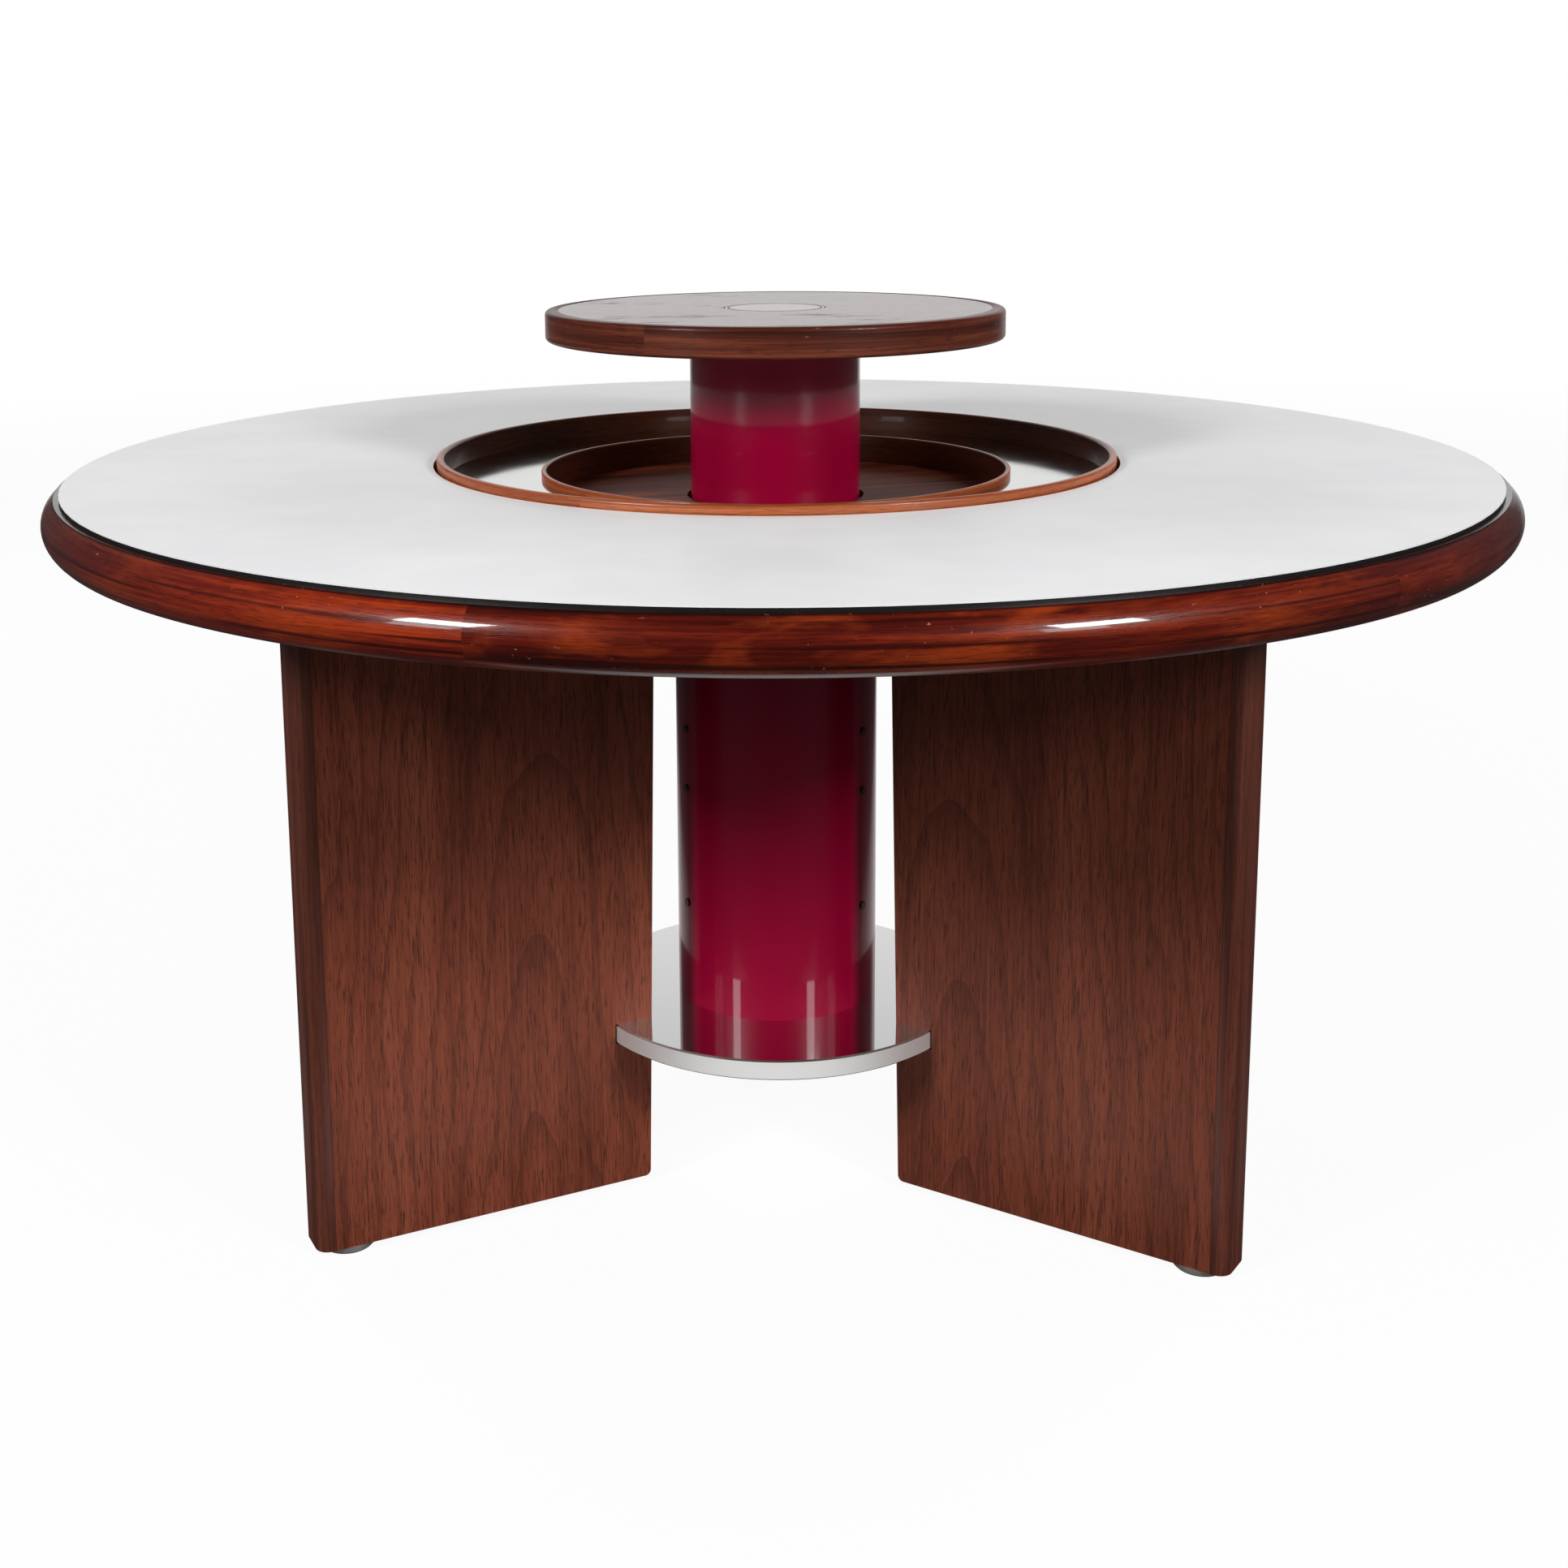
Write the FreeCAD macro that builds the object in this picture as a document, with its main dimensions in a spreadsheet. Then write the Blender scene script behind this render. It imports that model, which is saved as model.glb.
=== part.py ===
import FreeCAD, Part
import math
import os
import re
import Sketcher

# Driving sizes in millimetres, angles in degrees, counts as plain numbers.
SIZES = (
    # Table top
    ("table_height", 730.0),
    ("laminate_thickness", 1.2),
    ("strip_thickness", 3.2),
    ("core_thickness", 47.8),
    ("well_radius", 338.0),
    ("rim_radius", 700.0),
    ("nose_depth", 12.0),
    ("strip_width", 19.0),
    ("lip_width", 5.0),
    ("quirk_depth", 1.2),
    ("rim_segment_count", 6),
    ("rim_joint_angle", -105.8),
    ("base_board_radius", 540.0),
    ("base_board_thickness", 18.0),
    # Legs
    ("leg_count", 3),
    ("first_leg_angle", 90.0),
    ("leg_thickness", 50.0),
    ("leg_inner_top", 145.0),
    ("leg_inner_foot", 159.0),
    ("leg_radius", 503.0),
    ("leg_foot_round", 6.0),
    ("lipping_depth", 16.0),
    ("lipping_round", 13.0),
    ("glide_radius", 26.0),
    ("glide_height", 7.0),
    ("glide_ease", 2.0),
    ("glide_pitch", 468.0),
    ("glide_stem_radius", 5.0),
    ("glide_stem_length", 30.0),
    ("bracket_start", 405.0),
    ("bracket_length", 60.0),
    ("bracket_flange", 36.0),
    ("bracket_thickness", 4.0),
    ("bracket_hole_share", 0.6),
    # Spreader plate
    ("plate_radius", 195.0),
    ("plate_top", 176.0),
    ("plate_thickness", 20.0),
    ("plate_chamfer", 1.5),
    ("plate_bolt_pitch", 177.0),
    ("plate_bolt_radius", 4.0),
    ("plate_bolt_head_radius", 7.0),
    ("plate_bolt_head_height", 8.0),
    ("plate_bolt_grip", 30.0),
    # Column
    ("tube_radius", 102.0),
    ("tube_wall", 3.0),
    ("base_ring_inner", 70.0),
    ("base_ring_height", 12.0),
    ("base_bolt_pitch", 84.0),
    ("base_bolt_count", 6),
    ("column_flange_radius", 138.0),
    ("column_flange_thickness", 6.0),
    ("column_flange_screw_pitch", 121.0),
    ("column_flange_screw_count", 6),
    ("bush_height", 40.0),
    ("bush_collar_height", 3.0),
    ("bush_collar_radius", 106.0),
    ("rail_lead", 178.0),
    ("rail_length", 222.0),
    ("rail_width", 16.0),
    ("rail_depth", 8.6),
    ("rail_seat", 0.4),
    ("rail_screw_low", 18.0),
    ("rail_screw_middle", 139.0),
    ("rail_screw_high", 200.0),
    ("rail_screw_radius", 2.0),
    ("rail_screw_head_radius", 4.0),
    ("rail_screw_head_height", 1.4),
    # Gas spring
    ("spring_radius", 14.0),
    ("spring_bore", 11.0),
    ("spring_lead", 40.0),
    ("spring_end", 8.0),
    ("spring_stud_radius", 6.0),
    ("spring_nut_height", 8.0),
    ("spring_nut_radius", 11.0),
    ("rod_radius", 5.0),
    ("rod_foot", 430.0),
    ("piston_height", 10.0),
    ("valve_pin_radius", 2.0),
    ("valve_pin_length", 30.0),
    # Revolving pan
    ("hoop_radius", 334.5),
    ("hoop_wall", 7.5),
    ("hoop_rise", 8.0),
    ("hoop_round", 2.6),
    ("pan_floor_drop", 15.5),
    ("pan_sheet_thickness", 1.2),
    ("pan_board_thickness", 9.0),
    ("inner_hoop_radius", 232.4),
    ("inner_hoop_wall", 5.0),
    ("inner_hoop_rise", 7.0),
    ("inner_hoop_round", 1.8),
    ("inner_floor_drop", 37.5),
    ("inner_floor_thickness", 4.0),
    ("inner_floor_gap", 4.0),
    ("race_pitch", 282.0),
    ("race_width", 34.0),
    ("race_thickness", 8.0),
    ("roller_length", 20.0),
    ("roller_count", 12),
    # Lift
    ("lift_tube_radius", 84.0),
    ("lift_tube_wall", 3.0),
    ("lift_tube_foot", 440.0),
    ("collar_height", 35.0),
    ("tray_rise", 148.0),
    ("tray_thickness", 29.0),
    ("tray_radius", 225.5),
    ("tray_edge_width", 13.0),
    ("tray_edge_round", 4.0),
    ("tray_flange_radius", 120.0),
    ("tray_flange_thickness", 8.0),
    ("tray_spigot_length", 20.0),
    ("tray_screw_pitch", 102.0),
    ("tray_screw_count", 6),
    ("trim_radius", 50.4),
    ("trim_width", 5.0),
    ("trim_height", 6.0),
    ("button_height", 5.0),
    ("button_travel", 4.0),
    ("stem_radius", 4.0),
    ("stem_length", 44.0),
    ("stem_bush_radius", 8.0),
    # Screws and fits
    ("screw_radius", 2.5),
    ("screw_head_radius", 5.0),
    ("screw_head_height", 3.0),
    ("screw_bite", 14.0),
    ("board_screw_pitch", 400.0),
    ("board_screw_count", 9),
    ("board_screw_angle", 30.0),
    ("fixed_fit", 0.1),
    ("running_fit", 0.3),
)

# Levels and radii that follow from the driving sizes.
CORE_TOP = "(table_height - laminate_thickness)"
LIP_TOP = "(table_height - laminate_thickness - strip_thickness)"
CORE_BOTTOM = "(table_height - laminate_thickness - core_thickness)"
LIP_RADIUS = "(rim_radius - nose_depth)"
LAMINATE_RADIUS = "(rim_radius - nose_depth - lip_width)"
CORE_RADIUS = "(rim_radius - nose_depth - lip_width - strip_width)"
BOARD_BOTTOM = f"({CORE_BOTTOM} - base_board_thickness)"
PLATE_BOTTOM = "(plate_top - plate_thickness)"
TUBE_BORE = "(tube_radius - tube_wall)"
LIP_LINE = "(leg_radius - lipping_depth)"
RAIL_BOTTOM = "(lift_tube_foot - rail_lead)"
RAIL_INNER = f"({TUBE_BORE} - rail_seat - rail_depth)"
SHEET_TOP = "(table_height - pan_floor_drop)"
PAN_BOARD_TOP = f"({SHEET_TOP} - pan_sheet_thickness)"
PAN_BOARD_BOTTOM = f"({PAN_BOARD_TOP} - pan_board_thickness)"
HOOP_INNER = "(hoop_radius - hoop_wall)"
INNER_HOOP_BORE = "(inner_hoop_radius - inner_hoop_wall)"
INNER_HOOP_TOP = f"({SHEET_TOP} + inner_hoop_rise)"
INNER_FLOOR_TOP = "(table_height - inner_floor_drop)"
INNER_FLOOR_BOTTOM = f"({INNER_FLOOR_TOP} - inner_floor_thickness)"
ROLLER_CENTRE = f"(({CORE_BOTTOM} + {PAN_BOARD_BOTTOM}) / 2)"
ROLLER_RADIUS = f"(({PAN_BOARD_BOTTOM} - {CORE_BOTTOM}) / 2 - race_thickness - fixed_fit)"
TRAY_TOP = "(table_height + tray_rise)"
TRAY_BOTTOM = f"({TRAY_TOP} - tray_thickness)"
LIFT_TUBE_TOP = f"({TRAY_BOTTOM} - tray_flange_thickness)"
LIFT_TUBE_BORE = "(lift_tube_radius - lift_tube_wall)"
SPIGOT_BOTTOM = f"({LIFT_TUBE_TOP} - tray_spigot_length)"
BUTTON_BOTTOM = f"({TRAY_TOP} - button_height)"
BUTTON_WELL_FLOOR = f"({BUTTON_BOTTOM} - button_travel - running_fit)"
STEM_BOTTOM = f"({BUTTON_BOTTOM} - stem_length)"
STEM_BORE = "(stem_radius + running_fit)"
ROD_SOCKET = "(rod_radius + fixed_fit)"
SPRING_TOP = "(rod_foot + spring_lead)"
TRIM_BORE = "(trim_radius - trim_width)"

doc = FreeCAD.newDocument("DiningTable")
sheet = doc.addObject("Spreadsheet::Sheet", "sizes")
for row, (name, value) in enumerate(SIZES, 1):
    sheet.set(f"A{row}", name)
    sheet.set(f"B{row}", str(value))
    sheet.setAlias(f"B{row}", name)
doc.recompute()

SIZE_NAMES = {name for name, value in SIZES}
nodes = []


def size(text):
    """Number that an expression in size names comes to."""
    return float(sheet.evalExpression(text))


def bind(thing, path, text):
    """Bind a property to an expression in size names."""
    linked = re.sub(r"[a-z][a-z_]*", lambda word: linked_name(word.group()), text)
    thing.setExpression(path, linked)


def linked_name(word):
    return f"sizes.{word}" if word in SIZE_NAMES else word


def node(thing):
    """Keep a finished piece for writing."""
    nodes.append(thing)
    return thing


def arc_between(start, end, radius):
    """Arc that swells to the right of the line from start to end."""
    chord = end - start
    half = chord.Length / 2
    rise = math.sqrt(max(radius ** 2 - half ** 2, 0))
    left = FreeCAD.Vector(-chord.y, chord.x, 0).normalize()
    centre = (start + end) / 2 + left * rise
    from_angle = math.atan2(start.y - centre.y, start.x - centre.x)
    to_angle = math.atan2(end.y - centre.y, end.x - centre.x)
    if to_angle < from_angle:
        to_angle += 2 * math.pi
    circle = Part.Circle(centre, FreeCAD.Vector(0, 0, 1), radius)
    return Part.ArcOfCircle(circle, from_angle, to_angle)


def name_constraint(sketch, constraint, name, text):
    index = sketch.addConstraint(constraint)
    sketch.renameConstraint(index, name)
    bind(sketch, f"Constraints.{name}", text)


def draw_loop(sketch, corners):
    """Closed outline; a third entry in a corner is the radius of the arc that leads to it."""
    points = [FreeCAD.Vector(size(corner[0]), size(corner[1]), 0) for corner in corners]
    first = sketch.GeometryCount
    for index, corner in enumerate(corners):
        start = points[index - 1]
        end = points[index]
        if len(corner) > 2:
            sketch.addGeometry(arc_between(start, end, size(corner[2])), False)
        else:
            sketch.addGeometry(Part.LineSegment(start, end), False)
    for index, corner in enumerate(corners):
        edge = first + index
        following = first + (index + 1) % len(corners)
        sketch.addConstraint(Sketcher.Constraint("Coincident", edge, 2, following, 1))
        across = Sketcher.Constraint("DistanceX", -1, 1, edge, 2, points[index].x)
        name_constraint(sketch, across, f"across_{edge}", corner[0])
        upward = Sketcher.Constraint("DistanceY", -1, 1, edge, 2, points[index].y)
        name_constraint(sketch, upward, f"upward_{edge}", corner[1])
        if len(corner) > 2:
            bend = Sketcher.Constraint("Radius", edge, size(corner[2]))
            name_constraint(sketch, bend, f"bend_{edge}", corner[2])


def new_sketch(body, plane, corners, offset):
    sketch = body.newObject("Sketcher::SketchObject", body.Label + "_outline")
    planes = [item for item in body.Origin.OriginFeatures if item.Role == plane]
    sketch.AttachmentSupport = (planes[0], [""])
    sketch.MapMode = "FlatFace"
    if offset:
        bind(sketch, ".AttachmentOffset.Base.z", offset)
    draw_loop(sketch, corners)
    return sketch


def new_body(label, turn):
    body = doc.addObject("PartDesign::Body", label)
    body.Label = label
    body.AllowCompound = True
    if turn:
        bind(body, ".Placement.Rotation.Angle", turn)
    return body


def repeat_round(body, feature, count):
    """Repeat a feature evenly about the table's axis."""
    pattern = body.newObject("PartDesign::PolarPattern", body.Label + "_ring")
    axes = [item for item in body.Origin.OriginFeatures if item.Role == "Z_Axis"]
    pattern.Originals = [feature]
    pattern.Axis = (axes[0], [""])
    pattern.Angle = 360
    bind(pattern, "Occurrences", count)
    body.Tip = pattern
    doc.recompute()


def turned(label, corners, turn=None, sweep=None):
    """Piece turned about the table's axis."""
    body = new_body(label, turn)
    sketch = new_sketch(body, "XZ_Plane", corners, None)
    revolution = body.newObject("PartDesign::Revolution", label + "_turning")
    revolution.Profile = sketch
    revolution.ReferenceAxis = (sketch, ["V_Axis"])
    revolution.Angle = 360
    if sweep:
        revolution.Midplane = True
        bind(revolution, "Angle", sweep)
    body.Tip = revolution
    doc.recompute()
    return body


def spun(label, corners, count, turn=None, plane="XZ_Plane", offset=None):
    """Small pieces turned about their own axis, from first to last corner, and repeated round the table."""
    body = new_body(label, turn)
    sketch = new_sketch(body, plane, corners, offset)
    ends = [FreeCAD.Vector(size(corner[0]), size(corner[1]), 0) for corner in (corners[0], corners[-1])]
    axis = sketch.addGeometry(Part.LineSegment(ends[0], ends[1]), True)
    sketch.addConstraint(Sketcher.Constraint("Coincident", axis, 1, 0, 2))
    sketch.addConstraint(Sketcher.Constraint("Coincident", axis, 2, len(corners) - 1, 2))
    revolution = body.newObject("PartDesign::Revolution", label + "_turning")
    revolution.Profile = sketch
    revolution.ReferenceAxis = (sketch, ["Axis0"])
    revolution.Angle = 360
    body.Tip = revolution
    doc.recompute()
    repeat_round(body, revolution, count)
    return body


def prism(label, corners, length, plane, offset=None, turn=None, symmetric=False, count=None):
    """Piece with a straight outline, extruded square to its plane."""
    body = new_body(label, turn)
    sketch = new_sketch(body, plane, corners, offset)
    pad = body.newObject("PartDesign::Pad", label + "_pad")
    pad.Profile = sketch
    if symmetric:
        pad.SideType = "Symmetric"
    bind(pad, "Length", length)
    body.Tip = pad
    doc.recompute()
    if count:
        repeat_round(body, pad, count)
    return body


def group(label, members):
    """Several separate solids kept as one piece."""
    compound = doc.addObject("Part::Compound", label)
    compound.Label = label
    compound.Links = members
    doc.recompute()
    return compound


def drilled(label, blank, tools):
    """Blank with the tools' solids taken away."""
    cut = doc.addObject("Part::Cut", label)
    cut.Label = label
    cut.Base = blank
    cut.Tool = tools[0] if len(tools) == 1 else group(label + "_tools", tools)
    doc.recompute()
    return cut


def ring_corners(inner, outer, bottom, top):
    return ((inner, bottom), (outer, bottom), (outer, top), (inner, top))


def screw_corners(pitch, head_bottom, shank, head, head_height, tip):
    """Upright screw with its head below, as an outline beside its own axis."""
    shoulder = f"{head_bottom} + {head_height}"
    return (
        (pitch, head_bottom),
        (f"{pitch} + {head}", head_bottom),
        (f"{pitch} + {head}", shoulder),
        (f"{pitch} + {shank}", shoulder),
        (f"{pitch} + {shank}", tip),
        (pitch, tip),
    )


def screw_and_drill(label, pitch, seat, sizes, tip, count, turn=None):
    """Ring of upright screws whose heads bear on the seat from below, and the drills for their holes."""
    shank, head, head_height = sizes
    start = f"({seat} - {head_height})"
    screws = spun(label, screw_corners(pitch, start, shank, head, head_height, tip), count, turn)
    hole = f"{shank} + fixed_fit"
    drill_corners = (
        (pitch, start),
        (f"{pitch} + {hole}", start),
        (f"{pitch} + {hole}", f"{tip} + fixed_fit"),
        (pitch, f"{tip} + fixed_fit"),
    )
    return screws, spun(label + "_drill", drill_corners, count, turn)


SCREW = ("screw_radius", "screw_head_radius", "screw_head_height")


def build_fixings():
    """Screws and bolts, each with the drill that makes its holes."""
    fixings = {}
    board_tip = f"({CORE_BOTTOM} + screw_bite)"
    fixings["base_board_screws"] = screw_and_drill(
        "base_board_screws", "board_screw_pitch", BOARD_BOTTOM, SCREW, board_tip, "board_screw_count",
        "board_screw_angle")
    flange_bottom = f"({BOARD_BOTTOM} - column_flange_thickness)"
    flange_tip = f"({BOARD_BOTTOM} + screw_bite)"
    fixings["column_flange_screws"] = screw_and_drill(
        "column_flange_screws", "column_flange_screw_pitch", flange_bottom, SCREW, flange_tip,
        "column_flange_screw_count")
    ring_tip = "(plate_top + base_ring_height)"
    fixings["column_base_bolts"] = screw_and_drill(
        "column_base_bolts", "base_bolt_pitch", PLATE_BOTTOM, SCREW, f"{ring_tip} - fixed_fit * 2",
        "base_bolt_count")
    tray_tip = f"({TRAY_BOTTOM} + screw_bite)"
    fixings["tray_flange_screws"] = screw_and_drill(
        "tray_flange_screws", "tray_screw_pitch", LIFT_TUBE_TOP, SCREW, tray_tip, "tray_screw_count")
    fixings["plate_bolts"] = plate_bolts()
    fixings["bracket_bolts"] = bracket_bolts()
    fixings["bracket_screws"] = bracket_screws()
    fixings["guide_rail_screws"] = rail_screws()
    fixings["leg_glides"] = leg_glides()
    return fixings


def plate_bolts():
    """Bolts up through each leg's foot and the spreader plate; their heads are sunk in the foot."""
    tip = "(plate_top + plate_bolt_grip)"
    pitch = "plate_bolt_pitch"
    bottom = "glide_height"
    shoulder = f"{bottom} + plate_bolt_head_height"
    outline = screw_corners(
        pitch, bottom, "plate_bolt_radius", "plate_bolt_head_radius", "plate_bolt_head_height", tip)
    bolts = spun("plate_bolts", outline, "leg_count", "first_leg_angle")
    drill = spun("plate_bolts_drill", (
        (pitch, "0"),
        (f"{pitch} + plate_bolt_head_radius + fixed_fit", "0"),
        (f"{pitch} + plate_bolt_head_radius + fixed_fit", shoulder),
        (f"{pitch} + plate_bolt_radius + fixed_fit", shoulder),
        (f"{pitch} + plate_bolt_radius + fixed_fit", f"{tip} + fixed_fit"),
        (pitch, f"{tip} + fixed_fit"),
    ), "leg_count", "first_leg_angle")
    return bolts, drill


def bracket_bolts():
    """Bolts across each leg through its pair of brackets, with a head at one end and a nut at the other."""
    height = f"({BOARD_BOTTOM} - bracket_flange * bracket_hole_share)"
    middle = "bracket_start + bracket_length / 2"
    face = "(leg_thickness / 2 + bracket_thickness)"
    end = f"({face} + screw_head_height)"
    shank = f"({height} + screw_radius)"
    head = f"({height} + screw_head_radius)"
    bolts = spun("bracket_bolts", (
        (f"{end}", height), (f"{end}", head), (f"{face}", head), (f"{face}", shank),
        (f"-{face}", shank), (f"-{face}", head), (f"-{end}", head), (f"-{end}", height),
    ), "leg_count", "first_leg_angle", "YZ_Plane", middle)
    hole = f"({shank} + fixed_fit)"
    drill = spun("bracket_bolts_drill", (
        (f"{end}", height), (f"{end}", hole), (f"-{end}", hole), (f"-{end}", height),
    ), "leg_count", "first_leg_angle", "YZ_Plane", middle)
    return bolts, drill


def bracket_screws():
    """Screws up through the brackets into the base board, one on each side of each leg."""
    pitch = "(bracket_start + bracket_length / 2)"
    seat = f"({BOARD_BOTTOM} - bracket_thickness)"
    start = f"({seat} - screw_head_height)"
    tip = f"({BOARD_BOTTOM} + screw_bite)"
    aside = "leg_thickness / 2 + bracket_flange * bracket_hole_share"
    outline = screw_corners(pitch, start, "screw_radius", "screw_head_radius", "screw_head_height", tip)
    hole = f"{pitch} + screw_radius + fixed_fit"
    drill_outline = (
        (pitch, start), (hole, start), (hole, f"{tip} + fixed_fit"), (pitch, f"{tip} + fixed_fit"))
    screws = []
    drills = []
    for side, offset in (("left", f"{aside}"), ("right", f"-({aside})")):
        place = ("leg_count", "first_leg_angle", "XZ_Plane", offset)
        screws.append(spun(f"bracket_screws_{side}", outline, *place))
        drills.append(spun(f"bracket_screws_{side}_drill", drill_outline, *place))
    return group("bracket_screws", screws), group("bracket_screws_drill", drills)


def rail_screws():
    """Screws through the column into the guide rails, in three rows."""
    head_start = "(tube_radius + fixed_fit)"
    head_end = f"({head_start} + rail_screw_head_height)"
    tip = f"({RAIL_INNER} + rail_depth / 4)"
    screws = []
    drills = []
    for level in ("low", "middle", "high"):
        height = f"({RAIL_BOTTOM} + rail_screw_{level})"
        shank = f"{height} + rail_screw_radius"
        head = f"{height} + rail_screw_head_radius"
        screws.append(spun(f"rail_screws_{level}", (
            (head_end, height), (head_end, head), (head_start, head), (head_start, shank),
            (tip, shank), (tip, height),
        ), "leg_count", "first_leg_angle"))
        hole = f"{shank} + fixed_fit"
        drill_tip = f"({tip} - fixed_fit)"
        drills.append(spun(f"rail_screws_{level}_drill", (
            (head_end, height), (head_end, hole), (drill_tip, hole), (drill_tip, height),
        ), "leg_count", "first_leg_angle"))
    return group("guide_rail_screws", screws), group("guide_rail_screws_drill", drills)


def leg_glides():
    """Round metal glides with a stem that screws up into the leg's foot."""
    pitch = "glide_pitch"
    edge = f"{pitch} + glide_radius"
    stem = f"{pitch} + glide_stem_radius"
    tip = "(glide_height + glide_stem_length)"
    glides = spun("leg_glides", (
        (pitch, "0"), (f"{edge} - glide_ease", "0"), (edge, "glide_ease"), (edge, "glide_height"),
        (stem, "glide_height"), (stem, tip), (pitch, tip),
    ), "leg_count", "first_leg_angle")
    hole = f"{stem} + fixed_fit"
    drill = spun("leg_glides_drill", (
        (pitch, "0"), (hole, "0"), (hole, f"{tip} + fixed_fit"), (pitch, f"{tip} + fixed_fit"),
    ), "leg_count", "first_leg_angle")
    return glides, drill


def leg_turns():
    """Number and turn of each leg about the table's axis."""
    count = int(size("leg_count"))
    return [(index + 1, f"first_leg_angle + 360 / leg_count * {index}") for index in range(count)]


def build_top(fixings):
    core = turned("top_core_blank", ring_corners("well_radius", CORE_RADIUS, CORE_BOTTOM, CORE_TOP))
    node(drilled("top_core", core, [fixings["base_board_screws"][1]]))
    node(turned("top_edge_strip", ring_corners(CORE_RADIUS, LAMINATE_RADIUS, LIP_TOP, CORE_TOP)))
    node(turned("top_laminate", ring_corners("well_radius", LAMINATE_RADIUS, CORE_TOP, "table_height")))
    nose_half = f"(({LIP_TOP} - quirk_depth - {CORE_BOTTOM}) / 2)"
    bend = f"((nose_depth * nose_depth + {nose_half} * {nose_half}) / (2 * nose_depth))"
    profile = (
        (CORE_RADIUS, CORE_BOTTOM),
        (LIP_RADIUS, CORE_BOTTOM),
        (LIP_RADIUS, f"{LIP_TOP} - quirk_depth", bend),
        (LIP_RADIUS, LIP_TOP),
        (CORE_RADIUS, LIP_TOP),
    )
    sweep = "360 / rim_segment_count"
    for index in range(int(size("rim_segment_count"))):
        turn = f"rim_joint_angle + {sweep} * {index} + {sweep} / 2"
        node(turned(f"rim_segment_{index + 1}", profile, turn, sweep))
    hole = "tube_radius + fixed_fit"
    board = turned("base_board_blank", ring_corners(hole, "base_board_radius", BOARD_BOTTOM, CORE_BOTTOM))
    drills = ("base_board_screws", "column_flange_screws", "bracket_screws")
    node(drilled("base_board", board, [fixings[name][1] for name in drills]))
    node(fixings["base_board_screws"][0])


def build_legs(fixings):
    slope = f"((leg_inner_top - leg_inner_foot) / ({BOARD_BOTTOM} - glide_height))"
    slot_low = f"(leg_inner_foot + {slope} * ({PLATE_BOTTOM} - glide_height))"
    slot_high = f"(leg_inner_foot + {slope} * (plate_top - glide_height))"
    slot_end = "(plate_radius + fixed_fit)"
    outline = (
        (f"(leg_inner_foot + {slope} * leg_foot_round)", "(glide_height + leg_foot_round)"),
        ("(leg_inner_foot + leg_foot_round)", "glide_height", "leg_foot_round"),
        (LIP_LINE, "glide_height"),
        (LIP_LINE, BOARD_BOTTOM),
        ("leg_inner_top", BOARD_BOTTOM),
        (slot_high, "plate_top"),
        (slot_end, "plate_top"),
        (slot_end, PLATE_BOTTOM),
        (slot_low, PLATE_BOTTOM),
    )
    half = "leg_thickness / 2"
    corner = "(leg_radius - lipping_round)"
    side = "(leg_thickness / 2 - lipping_round)"
    lipping = (
        (LIP_LINE, f"-{half}"),
        (corner, f"-{half}"),
        ("leg_radius", f"-{side}", "lipping_round"),
        ("leg_radius", side),
        (corner, half, "lipping_round"),
        (LIP_LINE, half),
    )
    drills = [fixings[name][1] for name in ("plate_bolts", "bracket_bolts", "leg_glides")]
    height = f"{BOARD_BOTTOM} - glide_height"
    for number, angle in leg_turns():
        blank = prism(f"leg_panel_{number}_blank", outline, "leg_thickness", "XZ_Plane",
                      turn=angle, symmetric=True)
        node(drilled(f"leg_panel_{number}", blank, drills))
        node(prism(f"leg_lipping_{number}", lipping, height, "XY_Plane", "glide_height", angle))
    build_brackets(fixings)
    for name in ("bracket_bolts", "bracket_screws", "leg_glides"):
        node(fixings[name][0])


def build_brackets(fixings):
    """Angle brackets in the corners between the legs and the base board."""
    face = "(leg_thickness / 2)"
    web = f"({face} + bracket_thickness)"
    reach = f"({face} + bracket_flange)"
    low = f"({BOARD_BOTTOM} - bracket_flange)"
    ledge = f"({BOARD_BOTTOM} - bracket_thickness)"
    right = (
        (face, low), (web, low), (web, ledge), (reach, ledge), (reach, BOARD_BOTTOM), (face, BOARD_BOTTOM))
    left = tuple((f"-{across}", upward) for across, upward in reversed(right))
    blanks = []
    for label, outline in (("brackets_right", right), ("brackets_left", left)):
        place = ("YZ_Plane", "bracket_start", "first_leg_angle")
        blanks.append(prism(label, outline, "bracket_length", *place, count="leg_count"))
    tools = [fixings["bracket_bolts"][1], fixings["bracket_screws"][1]]
    node(drilled("leg_brackets", group("leg_brackets_blank", blanks), tools))


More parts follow.
